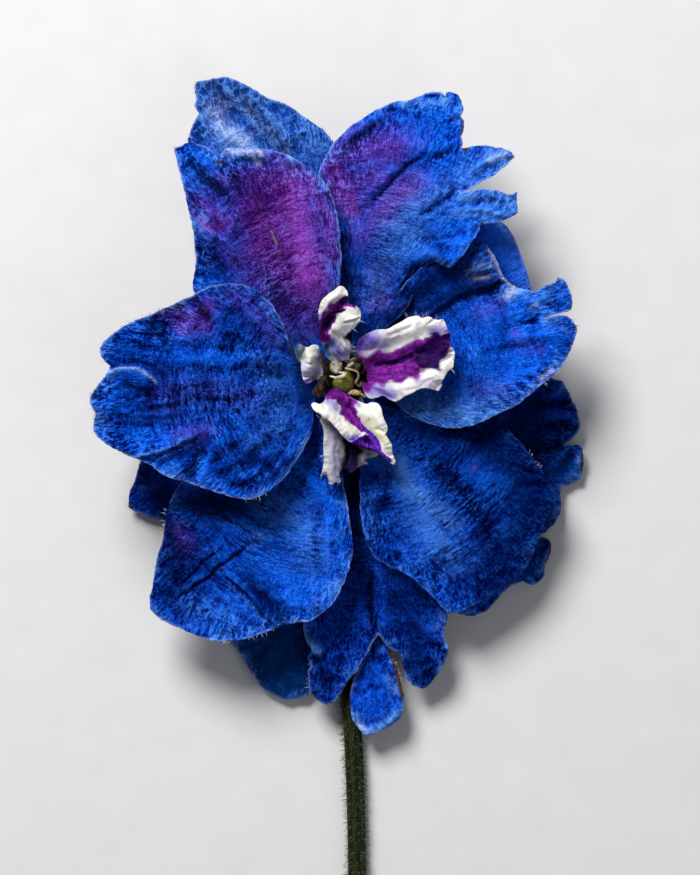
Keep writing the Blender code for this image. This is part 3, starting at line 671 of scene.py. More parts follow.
def stain_and_painted_shading_marks(flat, stains_and_painted_shading, seed):
    """Each mark of colour, painted shade or painted light on the sheet, from its strokes, with uneven edges.
    """
    marks = {}
    for kind, strokes in stains_and_painted_shading.items():
        marks[kind] = np.zeros(len(flat))
        for strength, width, stroke in strokes:
            gap = from_stroke(flat, stroke)[0]
            uneven = 1 + 0.35 * rumple(flat[:, 0] / (0.7 * width), flat[:, 1] / (0.7 * width), seed)
            marks[kind] = np.maximum(marks[kind], strength * np.exp(-(gap * uneven / width) ** 2))
    return marks


def rim_hairs(loop, flat, height, tufts, length_range, chance):
    """Tufts of hairs that stand on the rim and point outwards."""
    sheet = KDTree(len(flat))
    for index, (x, y) in enumerate(flat):
        sheet.insert((x, y, 0), index)
    sheet.balance()
    roots, ways = [], []
    for middle, radius, number in tufts:
        near = np.flatnonzero(np.linalg.norm(loop - middle, axis=1) < radius)
        for index in chance.choice(near, number):
            ahead = loop[(index + 1) % len(loop)] - loop[index - 1]
            out = np.array([-ahead[1], ahead[0]]) / (np.hypot(*ahead) + 1e-9)
            nearest = sheet.find((*loop[index], 0))[1]
            roots.append([*(loop[index] - 0.03 * out), height[nearest] - 0.5 * RIM_THICKNESS])
            ways.append(np.array([*out, 0.25]) + chance.normal(0, 0.35, 3))
    ways = np.array(ways)
    ways /= np.linalg.norm(ways, axis=1)[:, None]
    lengths = chance.uniform(*length_range, len(roots))
    hairs, triangles = hair_coat(np.array(roots), ways, lengths, RIM_HAIR_RADIUS, droop=0.1)
    return hairs, triangles, {"hair": np.ones(len(hairs))}


def petal_shape(node, seed, seat, spacing, thickness, melt, neck, swell, crease, ragged, claw, outline,
                crinkle, pleats=(), laps=(), hairs=(), hair=(0.3, 0.75), curl=0.0, ruffle=0.4, trim=1.0,
                **stains_and_painted_shading):
    """A petal's closed sheet of triangles, lying where its CAD solid lies, with its masks."""
    direction = math.radians(claw[0])
    outward = np.array([math.cos(direction), math.sin(direction)])
    half_claw = np.array([outward[1], -outward[0]]) * claw[1] / 2
    foot = HEART[:2] + outward * seat
    loop = closed_outline(outline, foot - half_claw, foot + half_claw, spacing, ragged, seed + 40)
    flat, triangles = flat_sheet(loop, spacing)

    # Where each point lies on the petal: from the rim, along the rim, out along its veins and across them.
    rim_gap, rim_place = from_loop(flat, smooth_line(np.vstack([loop, loop[:1]]), 0.1))
    away = flat - (foot - VEINS_MEET * outward)
    distance = np.linalg.norm(away, axis=1)
    across = np.arctan2(away @ np.array([-outward[1], outward[0]]), away @ outward) * FAN_RADIUS
    free = ramp(distance, *neck)
    reach = np.clip(distance / (distance + rim_gap + 1e-6), 0, 1) ** 1.5
    tipward = ramp(reach + 0.15 * rumple(distance / 3.0, across / 3.0, seed + 5), 0.5, 1.0)

    # The solid's own height with its facets melted, then folds, crepe, slow swells and a ruffled rim.
    height = eased(lying_on(node, flat), joined_edges(triangles), round(4 * (melt / spacing) ** 2))
    x, y = flat.T / 1.3
    wandering = flat + 0.2 * np.column_stack([rumple(x, y, seed + 50), rumple(x, y, seed + 51)])
    pleat = sum((pleat_height(wandering, *fold) for fold in pleats), np.zeros(len(flat)))
    lap = sum((lap_height(wandering, *fold) for fold in laps), np.zeros(len(flat)))
    height += pleat + lap
    relief = crepe(distance / crease, across / crease, tipward, seed)
    height += crinkle * relief * free * (0.4 + 0.6 * ramp(rim_gap, 0.0, 0.7))
    height += swell * rumple(distance / (4.5 * crease), across / (2.8 * crease), seed + 20) * free
    flutter = rumple(rim_place / (1.9 * crease), rim_gap * 0.2, seed + 21)
    flutter += 0.6 * rumple(rim_place / (0.7 * crease), rim_gap * 0.3, seed + 22)
    height += ruffle * flutter * np.exp(-rim_gap / 0.9) * free
    height += curl * np.exp(-(rim_gap / 0.55) ** 2) * free
    thin = RIM_THICKNESS + (thickness - RIM_THICKNESS) * (1 - np.exp(-rim_gap / 0.5))
    height = np.maximum(height, thin + SHEET_CLEARANCE)
    points, skin = two_faced(flat, triangles, height, thin)

    marks = stain_and_painted_shading_marks(flat, stains_and_painted_shading, seed + 30)
    # The crest and fold marks carry the heights of the crepe and the pleats; the finish paints highlights on
    # the crests and shade in the valleys from them.
    marks["crest"] = np.clip(0.42 + 0.5 * relief, 0, 1)
    marks["fold"] = np.clip(0.5 + 0.7 * pleat + 0.15 * lap, 0, 1)
    marks["tip"] = tipward
    patchy = ramp(rumple(rim_place / 2.6, rim_gap, seed + 23), -0.5, 0.2)
    marks["rim"] = trim * np.exp(-(rim_gap / RIM_WIDTH) ** 2) * free * patchy
    marks["hem"] = trim * np.exp(-(rim_gap / HEM_WIDTH) ** 2) * free
    marks["growth"] = np.column_stack([distance, across, np.full(len(flat), 7.3 * seed)])
    marks = {name: np.concatenate([values, values]) for name, values in marks.items()}
    marks["back"] = np.repeat([0.0, 1.0], len(flat))
    if not hairs:
        return points, skin, marks
    return gathered((points, skin, marks),
                    rim_hairs(loop, flat, height, hairs, hair, np.random.default_rng(seed)))


def sepal_finish(name, dark, blue, light, glint):
    """The sepals' blue: painted shade in the troughs, folds and marked hollows, painted highlights on the
    crests and in small sparkles, a rim painted pale, and stains.
    """
    finish = Finish(name, Roughness=0.6, IOR=1.3, Specular_IOR_Level=0.15, Specular_Tint=(0.05, 0.22, 1.0, 1),
                    Sheen_Weight=0.10, Sheen_Roughness=0.4, Sheen_Tint=(0.05, 0.20, 1.0, 1))
    crest, tip, rim = finish.mark("crest"), finish.mark("tip"), finish.mark("rim")
    across = finish.ridges((4.6, 1.8, 1.0), distortion=0.9)
    along = finish.ridges((0.9, 5.2, 1.0), distortion=0.5)
    fibre = across * (1 - tip) + along * tip
    fleck = finish.grain((9.0, 10.0, 1.0), detail=3, roughness=0.7)
    cloud = finish.grain((0.26, 0.32, 1.0), detail=1)
    # Painted light and shade: the tone is darker in the valleys of the folds and lighter on their ridges and
    # on the crests of the crepe, and lighter still where strokes of painted light are laid; the fleck and the
    # cloud vary it at random.
    tone_and_painted_shading = 0.56 * crest + 0.3 * fleck + 0.9 * finish.mark("fold") + 0.3 * cloud + 0.3 * finish.mark("lush")
    lit = finish.between(tone_and_painted_shading + 0.38 * fibre + 0.6 * fleck, 1.26, 2.02)
    body = finish.mixed(finish.between(tone_and_painted_shading + 0.2 * fibre, 0.72, 1.46), dark, blue)
    body = finish.mixed(lit, body, light)
    spark = finish.between(0.8 * fleck + 0.4 * fibre + 0.35 * crest, 0.92, 1.1)
    # Painted shade: where these strokes lie the blue turns to the dark of the troughs, as under folds, under
    # overlapping sepals and on the sides turned from the light.
    body = finish.mixed(0.9 * finish.mark("deep"), body, dark)
    # A dark teal: partly the sepals' own teal cast, partly painted shade on sepals that lie low and away from
    # the light.
    body = finish.mixed(0.85 * finish.mark("teal"), body, (0.002, 0.040, 0.16))
    # The violet, magenta and sky blue each come as a dark and a lit copy, painted lighter where the tone is
    # lit.
    plum = finish.mixed(lit, (0.014, 0.0015, 0.08), (0.17, 0.035, 0.52))
    body = finish.mixed(finish.mark("violet") * (0.55 + 0.8 * fleck), body, plum)
    orchid = finish.mixed(lit, (0.045, 0.002, 0.12), (0.38, 0.060, 0.60))
    body = finish.mixed(finish.mark("magenta") * (0.55 + 0.8 * fleck), body, orchid)
    freckle = finish.between(finish.grain((5.0, 5.5, 1.0), detail=2), 0.60, 0.72)
    body = finish.mixed(0.45 * freckle * (1 - finish.mark("deep")), body, plum)
    # The sky blue is a pale blue in a dark and a lit copy. It is laid both as the sepals' own pale patches
    # and as painted light where the sepals face the light.
    sky = finish.mixed(lit, (0.004, 0.055, 0.40), (0.15, 0.42, 0.95))
    body = finish.mixed(finish.mark("pale") * (0.4 + 0.7 * fleck), body, sky)
    body = finish.mixed(0.55 * spark * (1 - 0.8 * finish.mark("deep")), body, glint)
    ash = finish.mixed(fibre, (0.010, 0.016, 0.04), (0.12, 0.16, 0.26))
    # On the sepals this grey is their own dull greyish patches.
    body = finish.mixed(0.85 * finish.mark("grey"), body, ash)
    body = finish.mixed(finish.mark("white") * (0.4 + 0.6 * lit), body, (0.66, 0.70, 0.88))
    # The rim and the band inside it are painted pale as highlights, strongest on the crests, and fade where
    # painted shade lies.
    shown = 1 - 0.85 * finish.mark("deep")
    hem = 0.6 * finish.mark("hem") * shown * finish.between(crest + 0.6 * fleck, 0.8, 1.15)
    body = finish.mixed(hem, body, sky)
    edge = rim * shown * (0.4 + 0.9 * fleck)
    body = finish.mixed(0.8 * edge, body, (0.30, 0.46, 1.0))
    body = finish.mixed(finish.mark("straw") * (0.3 + 0.9 * fleck), body, (0.42, 0.36, 0.30))
    rust = finish.mixed(fleck, (0.006, 0.003, 0.003), (0.16, 0.075, 0.025))
    body = finish.mixed(finish.between(finish.mark("scar") + 0.5 * fleck, 0.6, 0.9), body, rust)
    veins = finish.between(0.5 * along + 0.5 * fleck, 0.3, 0.7)
    back = finish.mixed(veins, (0.004, 0.020, 0.18), (0.04, 0.10, 0.46))
    body = finish.mixed(0.6 * finish.mark("back"), body, back)
    body = finish.mixed(finish.mark("hair"), body, (0.60, 0.62, 0.56))
    finish.shows(body, 0.42 + 0.3 * fleck, 0.8 * fibre + fleck, 0.16)
    return finish


def spur_shape():
    """The hollow spur: a ribbed, wrinkled tube that narrows to a rounded tip."""
    points = smooth_line([(*p, r) for p, r in zip(SPUR, SPUR_RADII)], 0.25)
    line, radii = points[:, :3], points[:, 3]
    rings, outward, _, distance, turns = stalk_rings(
        line, lambda d, turn: radii[:, None] * (0.98 - 0.05 * (0.5 + 0.5 * np.cos(5 * turn + 0.2 * d))
                                               - 0.03 * rumple(d / 0.8, turn * 2.5, 71) ** 2))
    last = rings[-1]
    middle = last.mean(0)
    tip = [middle + (last - middle) * shrink + (line[-1] - line[-2]) / 0.25 * radii[-1] * rise
           for shrink, rise in ((0.85, 0.45), (0.5, 0.8))]
    rings = np.concatenate([rings, np.array(tip)])
    skin, faces = tube_skin(rings)
    growth = np.zeros((len(skin), 3))
    growth[:, 0] = skin[:, 1]
    growth[:-2, 1] = np.tile(turns * 1.1, len(rings))
    # The spur carries a little painted shade all over.
    return skin, faces, {"growth": growth, "crest": np.full(len(skin), 0.4), "deep": np.full(len(skin), 0.3),
                         "back": np.full(len(skin), 0.5)}


# The outer sepals take a darker copy of the inner sepals' blue, partly as painted shade, for they lie under
# the inner ones and away from the light.
outer_shaded_blue = sepal_finish("outer_sepal_blue", dark=(0.0002, 0.0009, 0.030), blue=(0.0005, 0.015, 0.29),
                          light=(0.004, 0.09, 0.72), glint=(0.010, 0.14, 0.80))
for seed, (node, sepal) in enumerate(OUTER_SEPALS.items(), start=3):
    shape = petal_shape(node, 10 * seed, **OUTER_SHEET, **sepal)
    if node == "outer_sepal_top":
        shape = gathered(shape, spur_shape())
    dress(node, "blade", shape, outer_shaded_blue)

# ---------------------------------------------------------------------------------------------
# The inner sepals: six larger sepals that overlap like tiles over the outer ones, in a lighter blue than
# those, which are painted darker partly as shade. Age has crumpled them: they are creped all over, folded in
# places and split into lobes at the tip, with thin rims painted pale as highlights, and they flush from blue
# to violet where the pigment has turned.

INNER_SHEET = OUTER_SHEET | dict(spacing=0.135)
INNER_SEPALS = {
    "inner_sepal_left": dict(
        claw=(188, 2.2), crinkle=0.30, curl=0.12,
        outline=[
            [(-3.6, -2.4), (-3.75, -4.6), (-4.8, -7.0), (-6.8, -9.9), (-9.0, -11.6), (-10.8, -12.0),
             (-13.4, -11.4), (-15.6, -10.7), (-17.3, -10.05)],
            [(-18.2, -9.95), (-19.1, -9.55), (-20.9, -8.4), (-22.3, -7.7), (-24.2, -6.9), (-25.6, -6.0),
             (-26.5, -5.2), (-26.7, -4.4), (-26.5, -3.1)],
            [(-27.0, -1.8), (-26.8, -0.8), (-26.0, 0.2), (-25.2, 1.2), (-24.9, 2.0)],
            [(-25.5, 2.4), (-25.9, 3.1), (-25.8, 4.2), (-25.0, 5.1), (-23.0, 6.4), (-20.4, 7.5), (-18.0, 8.6),
             (-16.4, 9.3)],
            [(-15.2, 10.0), (-13.6, 10.5), (-12.0, 10.6), (-10.4, 10.3), (-9.2, 9.6), (-8.2, 8.6),
             (-7.4, 7.5), (-6.6, 6.0), (-6.2, 4.3), (-5.4, 2.7)],
        ],
        pleats=[(-0.18, 0.36, [(-20.8, 3.3), (-19.0, 1.6), (-16.4, 1.9), (-13.4, 1.5), (-10.4, 1.9),
                               (-7.6, 1.1), (-6.2, -0.3)]),
                (0.35, 0.6, [(-18.0, 2.6), (-14.0, 2.8), (-10.6, 2.4)]),
                (-0.22, 0.36, [(-26.4, -3.9), (-23.6, -3.3), (-21.0, -2.5), (-18.5, -2.3), (-15.6, -1.5),
                               (-12.8, -1.7), (-10.2, -1.1), (-6.4, -1.1)]),
                (0.3, 0.3, [(-24.0, -2.9), (-20.9, -3.2), (-17.6, -2.9)]),
                (-0.22, 0.26, [(-24.6, -4.4), (-20.6, -4.2), (-16.6, -4.3)]),
                (-0.12, 0.26, [(-19.6, -1.0), (-16.0, -0.2), (-12.4, -0.2)]),
                (-0.22, 0.24, [(-24.2, -1.7), (-21.4, -1.3), (-18.6, -1.5)]),
                (-0.16, 0.24, [(-17.6, 4.0), (-14.0, 3.8), (-10.6, 3.4)]),
                (-0.7, 0.6, [(-15.2, -6.6), (-16.0, -8.3), (-17.2, -10.0)]),
                (0.35, 0.5, [(-14.4, -7.0), (-14.9, -9.0), (-15.8, -10.4)]),
                (-0.5, 0.42, [(-6.0, -4.6), (-6.9, -7.0), (-8.6, -8.9), (-10.2, -10.3), (-13.0, -10.6)]),
                (-0.4, 0.5, [(-14.0, -9.6), (-11.5, -8.5), (-9.0, -6.6), (-7.4, -4.6)]),
                (-0.3, 0.45, [(-14.9, -8.7), (-12.6, -7.0), (-10.4, -5.2)]),
                (-0.5, 0.35, [(-16.3, 9.3), (-15.4, 7.8), (-14.3, 6.0)]),
                (0.35, 0.45, [(-15.1, 9.6), (-14.3, 8.0), (-13.2, 6.4)]),
                (-0.6, 1.1, [(-20.8, 6.5), (-19.0, 5.3)]),
                (-0.3, 0.4, [(-13.4, 5.3), (-11.5, 4.7), (-10.0, 3.6)]),
                (-0.25, 0.4, [(-12.2, 8.4), (-10.6, 6.8), (-9.6, 5.0)]),
                (-0.3, 0.3, [(-24.8, 4.4), (-22.0, 4.2), (-19.0, 3.6)])],
        laps=[(1.05, 1.6, [(-19.7, -0.4), (-20.3, 0.5), (-20.9, 1.2), (-21.8, 1.75), (-23.0, 2.0),
                           (-24.2, 1.85), (-25.2, 1.3), (-26.0, 0.3)]),
              (0.6, 1.0, [(-22.8, -7.9), (-20.6, -7.4), (-18.6, -6.7), (-16.6, -5.7), (-15.0, -4.9)])],
        violet=[(0.9, 1.2, [(-19.4, 8.0), (-16.6, 7.4), (-14.6, 8.2)]),
                (0.5, 1.4, [(-12.0, 9.4), (-9.0, 7.4), (-7.8, 5.2)]),
                (0.45, 1.0, [(-17.6, -5.2), (-14.6, -4.6)]),
                (0.3, 1.6, [(-19.0, -1.0), (-15.0, -0.6), (-10.0, -1.4)])],
        magenta=[(0.5, 0.9, [(-17.4, 6.0), (-15.0, 6.2)])],
        pale=[(0.6, 0.4, [(-22.0, -7.4), (-19.4, -6.9), (-17.0, -5.8)]),
              (0.8, 0.28, [(-19.0, -9.3), (-17.4, -10.0), (-15.0, -10.8)]),
              (0.5, 0.25, [(-17.4, -9.8), (-16.2, -8.8), (-15.4, -7.2)]),
              (0.75, 0.45, [(-4.2, -5.2), (-4.9, -7.4), (-6.2, -9.6), (-8.0, -11.2), (-10.6, -11.8)]),
              (1.0, 0.22, [(-20.2, 0.2), (-20.9, 0.95), (-21.8, 1.5), (-23.0, 1.75), (-24.2, 1.6),
                           (-25.2, 1.0)]),
              (0.5, 0.5, [(-26.6, -1.4), (-25.6, 0.2)]), (0.8, 0.3, [(-21.4, 6.9), (-20.0, 6.3)]),
              (0.45, 1.6, [(-8.4, 2.0), (-7.0, -1.4), (-7.4, -4.6)]),
              (0.35, 1.2, [(-10.0, -6.4), (-8.0, -4.0)]), (0.6, 0.45, [(-24.9, 5.1), (-25.9, 3.2)]),
              (0.4, 0.5, [(-26.9, -1.8), (-25.4, -4.6)])],
        deep=[(0.9, 0.6, [(-19.6, -8.0), (-17.2, -7.0), (-15.2, -5.6)]),
              (0.9, 0.5, [(-6.4, -8.2), (-7.8, -9.6), (-9.4, -10.4)]),
              (0.6, 0.5, [(-8.0, -7.4), (-10.6, -8.6), (-13.6, -9.4)]),
              (1.0, 0.45, [(-23.2, 0.1), (-22.0, -0.4), (-20.6, -0.6)]),
              (1.0, 0.35, [(-19.3, 0.9), (-20.4, 2.0), (-22.6, 2.6)]),
              (0.6, 0.6, [(-20.8, 6.0), (-20.0, 5.2), (-18.8, 4.7)]),
              (0.8, 1.0, [(-5.2, 3.6), (-4.9, 0.8), (-4.4, -2.4)]), (0.6, 0.9, [(-19.6, 0.2), (-18.4, -0.6)]),
              (0.6, 0.9, [(-26.0, -3.7), (-22.2, -3.4), (-18.4, -3.0)]),
              (0.35, 1.6, [(-24.6, 3.0), (-21.6, 4.0)]),
              (0.5, 0.4, [(-20.6, 3.1), (-18.3, 1.5), (-15.0, 1.7)]),
              (0.5, 0.4, [(-20.0, -2.4), (-16.0, -1.8)])],
        white=[(0.5, 0.12, [(-20.2, 0.3), (-20.9, 1.0), (-21.8, 1.55), (-23.0, 1.8), (-24.2, 1.65),
                            (-25.2, 1.05)])],
        grey=[(0.7, 0.45, [(-19.4, 7.8), (-17.4, 8.5)])],
        scar=[(0.8, 0.22, [(-25.9, 2.9)]), (0.6, 0.2, [(-26.6, -4.9)]),
              (0.6, 0.2, [(-15.2, 8.1), (-14.8, 7.6)]), (0.55, 0.18, [(-18.9, 8.0)])],
        hairs=[((-26.6, -4.2), 1.4, 26), ((-26.6, -1.2), 1.6, 24), ((-25.4, 3.6), 1.4, 16),
               ((-21.6, 7.0), 2.6, 30), ((-22.8, -7.4), 1.4, 12), ((-9.6, -11.8), 1.2, 5)],
    ),
    "inner_sepal_upper_left": dict(
        claw=(124, 2.2), crinkle=0.20, curl=0.05,
        outline=[
            [(-4.6, 3.4), (-6.6, 4.2), (-9.4, 6.2), (-13.6, 8.4), (-16.2, 9.8), (-16.05, 12.6),
             (-16.15, 15.2), (-16.45, 17.0), (-16.85, 18.8), (-17.25, 20.6), (-17.8, 22.7), (-18.3, 24.9)],
            [(-17.6, 25.1), (-17.0, 25.5), (-15.85, 25.3), (-14.6, 24.9), (-14.0, 24.3), (-13.5, 23.4)],
            [(-13.3, 24.3), (-12.8, 24.8), (-11.6, 24.9), (-10.2, 24.9), (-8.6, 24.7), (-7.2, 24.4),
             (-5.6, 23.7), (-3.55, 22.3), (-2.3, 21.0), (-1.5, 19.4), (-1.05, 17.4), (-0.76, 15.0),
             (-0.72, 12.6), (-0.93, 10.3), (-0.95, 8.4), (-0.95, 6.4)],
        ],
        pleats=[(-0.45, 0.5, [(-17.6, 24.2), (-15.0, 21.8), (-12.2, 19.0)]),
                (0.3, 0.5, [(-16.4, 24.6), (-14.2, 22.4), (-12.0, 20.4)]),
                (-0.4, 0.4, [(-13.5, 23.3), (-12.2, 21.6), (-10.8, 19.6)]),
                (0.45, 0.55, [(-12.8, 24.2), (-10.4, 24.3), (-8.2, 24.1)]),
                (-0.3, 0.4, [(-12.0, 23.5), (-9.8, 23.4), (-7.6, 23.0)]),
                (-0.3, 0.5, [(-16.6, 14.8), (-14.6, 13.6), (-12.4, 11.6)]),
                (-0.25, 0.25, [(-9.8, 19.9), (-9.3, 18.8), (-8.8, 17.4)]),
                (-0.2, 0.25, [(-8.1, 16.2), (-7.4, 14.6), (-6.6, 13.0), (-5.9, 11.6)]),
                (-0.3, 0.25, [(-12.1, 13.3), (-11.1, 12.2)]),
                (0.4, 1.6, [(-5.0, 19.0), (-4.4, 14.0), (-3.6, 9.0)]),
                (-0.35, 1.0, [(-8.6, 10.6), (-6.0, 8.0)])],
        laps=[(0.9, 1.2, [(-13.2, 15.0), (-14.0, 16.1), (-14.7, 17.1), (-15.6, 18.1), (-17.0, 18.9)])],
        magenta=[(0.95, 2.8, [(-6.0, 20.4), (-5.2, 15.4), (-4.2, 11.6)]),
                 (0.8, 2.4, [(-8.0, 17.4), (-6.8, 13.4)]),
                 (0.7, 1.3, [(-4.2, 21.0), (-2.2, 17.6), (-1.6, 13.6)]),
                 (0.9, 0.5, [(-15.2, 17.0), (-13.6, 16.6)])],
        violet=[(1.0, 3.6, [(-9.2, 21.0), (-9.6, 17.0), (-8.0, 12.4), (-5.2, 9.0)]),
                (1.0, 2.6, [(-4.8, 9.6), (-3.2, 7.4)]), (0.9, 1.9, [(-15.6, 18.6), (-13.0, 17.0)]),
                (0.7, 1.3, [(-6.8, 23.2), (-3.8, 21.4)])],
        pale=[(0.9, 0.2, [(-16.8, 18.9), (-15.4, 18.2), (-14.2, 16.8)]),
              (0.8, 0.7, [(-12.4, 24.0), (-9.4, 23.7)])],
        white=[(0.6, 0.4, [(-12.6, 24.6), (-10.4, 24.5), (-9.0, 24.3)]),
               (0.7, 0.3, [(-9.9, 24.0), (-9.4, 23.4)])],
        scar=[(1.0, 0.28, [(-13.5, 23.4)]), (0.7, 0.16, [(-10.4, 24.8)]),
              (0.85, 0.08, [(-9.8, 19.9), (-9.3, 18.8), (-8.8, 17.4)]),
              (0.8, 0.06, [(-7.5, 15.6), (-6.6, 13.0), (-5.9, 11.8)]),
              (0.6, 0.1, [(-12.0, 13.2), (-11.2, 12.3)]), (0.5, 0.3, [(-14.9, 13.2), (-14.6, 12.4)])],
        straw=[(0.8, 0.08, [(-8.1, 16.2), (-7.5, 14.8)])],
        deep=[(0.6, 1.4, [(-15.0, 15.0), (-13.0, 12.0)]), (0.5, 1.2, [(-13.0, 21.4), (-11.6, 20.4)])],
        teal=[(0.35, 1.6, [(-16.0, 22.8), (-14.4, 21.4)])],
        hairs=[((-18.2, 24.6), 0.8, 8), ((-16.2, 14.2), 1.4, 8)],
    ),
    "inner_sepal_upper_right": dict(
        claw=(62, 2.2), crinkle=0.28, curl=0.05,
        outline=[
            [(0.4, 5.6), (-0.8, 10.0), (-2.6, 17.0), (-3.1, 22.0), (-1.9, 24.8), (-1.05, 25.9), (0.2, 27.1),
             (1.65, 28.1), (3.1, 29.0), (5.0, 29.85), (6.2, 29.85), (7.5, 30.4), (8.7, 30.8), (9.8, 30.75),
             (10.15, 30.35)],
            [(10.5, 30.8), (11.4, 30.6), (11.9, 29.9), (12.15, 28.9), (11.9, 28.3)],
            [(12.15, 27.7), (12.2, 26.9), (11.85, 26.2)],
            [(12.1, 25.5), (12.05, 24.95)],
            [(12.6, 24.95), (13.5, 25.15), (14.8, 25.1), (16.2, 24.9), (17.1, 24.5), (17.55, 24.0)],
            [(16.9, 23.3), (15.8, 22.4), (14.6, 21.6), (13.0, 20.7), (11.9, 20.25)],
            [(13.2, 20.45), (14.6, 20.55), (15.6, 20.4), (16.9, 20.05), (17.8, 20.3)],
            [(17.75, 19.3), (17.8, 18.2), (17.3, 17.7), (16.0, 17.2), (14.6, 16.9), (13.9, 16.75)],
            [(13.6, 15.9), (12.7, 14.5), (11.8, 13.3), (10.8, 12.25)],
            [(10.0, 12.5), (9.1, 12.9), (8.3, 12.5), (7.5, 11.3), (7.0, 9.9), (6.5, 8.6), (5.9, 7.6),
             (5.0, 6.8), (4.0, 6.0), (3.0, 5.0), (2.2, 4.2)],
        ],
        pleats=[(-0.45, 0.3, [(1.6, 18.4), (3.3, 19.9), (4.6, 21.4), (6.2, 23.0), (8.4, 24.3)]),
                (0.3, 0.4, [(1.4, 19.4), (3.0, 21.0), (4.8, 22.8)]),
                (-0.4, 0.4, [(12.0, 24.9), (10.2, 24.2), (8.6, 23.6)]),
                (0.35, 0.45, [(12.0, 25.9), (9.8, 25.2)]), (-0.4, 0.3, [(11.9, 28.2), (10.6, 27.6)]),
                (-0.4, 0.3, [(11.9, 26.2), (10.4, 25.8)]),
                (-0.5, 0.35, [(12.2, 20.4), (10.0, 19.4), (7.6, 17.6)]),
                (0.4, 0.5, [(16.8, 24.2), (14.6, 23.4), (12.6, 22.4)]),
                (-0.3, 0.4, [(16.0, 23.4), (14.4, 22.6)]),
                (0.4, 0.35, [(11.0, 18.1), (13.9, 18.4), (16.8, 17.9)]),
                (-0.35, 0.4, [(16.8, 19.2), (14.0, 19.2), (11.4, 18.8)]),
                (0.75, 0.9, [(13.2, 15.7), (11.6, 14.0), (10.4, 13.2), (8.8, 13.8), (7.2, 13.6)]),
                (-0.75, 1.2, [(9.6, 12.0), (7.4, 11.4), (6.4, 9.8)]),
                (-0.35, 0.3, [(9.4, 14.6), (11.0, 14.1), (12.2, 14.3)]),
                (-0.3, 0.4, [(8.0, 15.2), (10.4, 15.6), (12.6, 16.2)]),
                (-0.3, 0.5, [(-0.6, 23.8), (1.6, 26.0), (4.4, 28.0)]),
                (0.4, 0.5, [(-1.2, 24.6), (1.0, 26.9), (3.6, 28.6)]), (-0.3, 0.4, [(4.6, 29.2), (5.4, 26.6)]),
                (-0.3, 0.35, [(7.4, 29.8), (7.4, 27.4)]),
                (-0.25, 0.4, [(3.4, 8.2), (6.6, 10.4), (9.6, 11.6)])],
        laps=[(0.55, 1.6, [(17.2, 23.7), (15.0, 22.0), (13.4, 20.9), (12.0, 20.4), (10.4, 19.9)])],
        magenta=[(0.8, 1.3, [(-1.8, 22.8), (-0.8, 20.4), (0.2, 18.6)]),
                 (0.35, 1.4, [(3.6, 18.4), (5.4, 20.2), (7.2, 21.0)]), (0.35, 0.8, [(2.4, 8.2), (3.8, 8.9)])],
        violet=[(0.9, 2.2, [(0.2, 24.6), (2.4, 24.8), (4.6, 25.0)]), (0.8, 2.0, [(0.6, 20.8), (2.8, 22.0)]),
                (0.65, 1.8, [(1.6, 15.6), (3.6, 18.0), (6.0, 20.6)]), (0.55, 1.4, [(3.2, 12.6), (3.2, 9.6)]),
                (0.4, 0.8, [(4.2, 26.6), (4.0, 24.0)])],
        pale=[(1.0, 1.0, [(16.6, 24.2), (14.9, 23.2)]),
              (0.7, 0.5, [(11.0, 18.0), (13.9, 18.2), (16.9, 17.8)]),
              (0.7, 0.9, [(12.0, 19.8), (16.6, 19.2)]), (0.55, 1.8, [(4.6, 15.6), (7.4, 18.8), (11.0, 20.4)]),
              (0.5, 0.5, [(6.9, 29.4), (10.4, 29.8)]), (0.6, 1.5, [(2.8, 9.8), (4.0, 12.6), (7.2, 16.0)]),
              (0.4, 1.2, [(12.0, 22.0), (14.6, 23.4)])],
        white=[(0.35, 0.4, [(16.6, 24.4), (14.8, 23.6)])],
        lush=[(0.6, 5.0, [(5.0, 20.0), (8.0, 27.0)]), (1.0, 3.0, [(14.0, 18.6)])],
        scar=[(1.0, 0.35, [(12.3, 24.8)]), (0.9, 0.25, [(10.1, 30.4)]), (0.9, 0.25, [(14.1, 16.95)]),
              (0.6, 0.14, [(17.75, 19.6), (17.7, 18.4)]), (0.7, 0.16, [(12.0, 27.8), (12.0, 26.4)]),
              (0.6, 0.2, [(17.5, 24.0)])],
        deep=[(1.0, 1.6, [(9.4, 12.6), (7.6, 11.0), (6.4, 8.6), (4.4, 6.4)]),
              (0.9, 1.2, [(-0.2, 12.0), (0.2, 8.0), (1.2, 5.6)])],
        hairs=[((17.6, 24.0), 0.9, 10), ((17.8, 18.2), 1.0, 10), ((10.0, 30.6), 1.6, 10)],
    ),
    "inner_sepal_right": dict(
        claw=(2, 2.2), crinkle=0.22, curl=0.08,
        outline=[
            [(2.2, 3.0), (2.9, 5.6), (4.4, 8.6), (7.0, 11.8), (10.2, 14.0), (12.8, 15.1), (14.4, 14.95),
             (15.2, 13.9), (15.8, 12.9), (16.3, 11.6), (17.1, 10.7), (17.8, 10.25)],
            [(18.9, 10.05), (19.8, 9.9), (20.8, 10.5), (21.85, 10.9), (22.05, 11.35)],
            [(22.5, 11.3), (22.95, 10.8), (23.3, 10.1), (23.6, 9.3), (23.6, 8.3), (23.15, 7.75), (22.3, 7.55),
             (21.3, 7.35), (20.5, 7.05)],
            [(21.3, 7.18), (22.3, 7.38), (23.1, 7.25), (23.75, 6.6), (24.3, 5.9)],
            [(24.0, 5.2), (23.6, 4.0), (23.1, 3.0), (22.5, 1.95)],
            [(22.0, 1.4), (21.0, 0.5), (20.0, -0.35), (18.7, -1.4), (17.7, -2.2), (16.2, -2.85), (14.8, -3.6),
             (13.1, -4.25), (11.9, -4.5), (10.6, -4.55), (9.4, -4.35), (8.1, -3.9), (6.4, -3.05),
             (4.6, -1.6)],
        ],
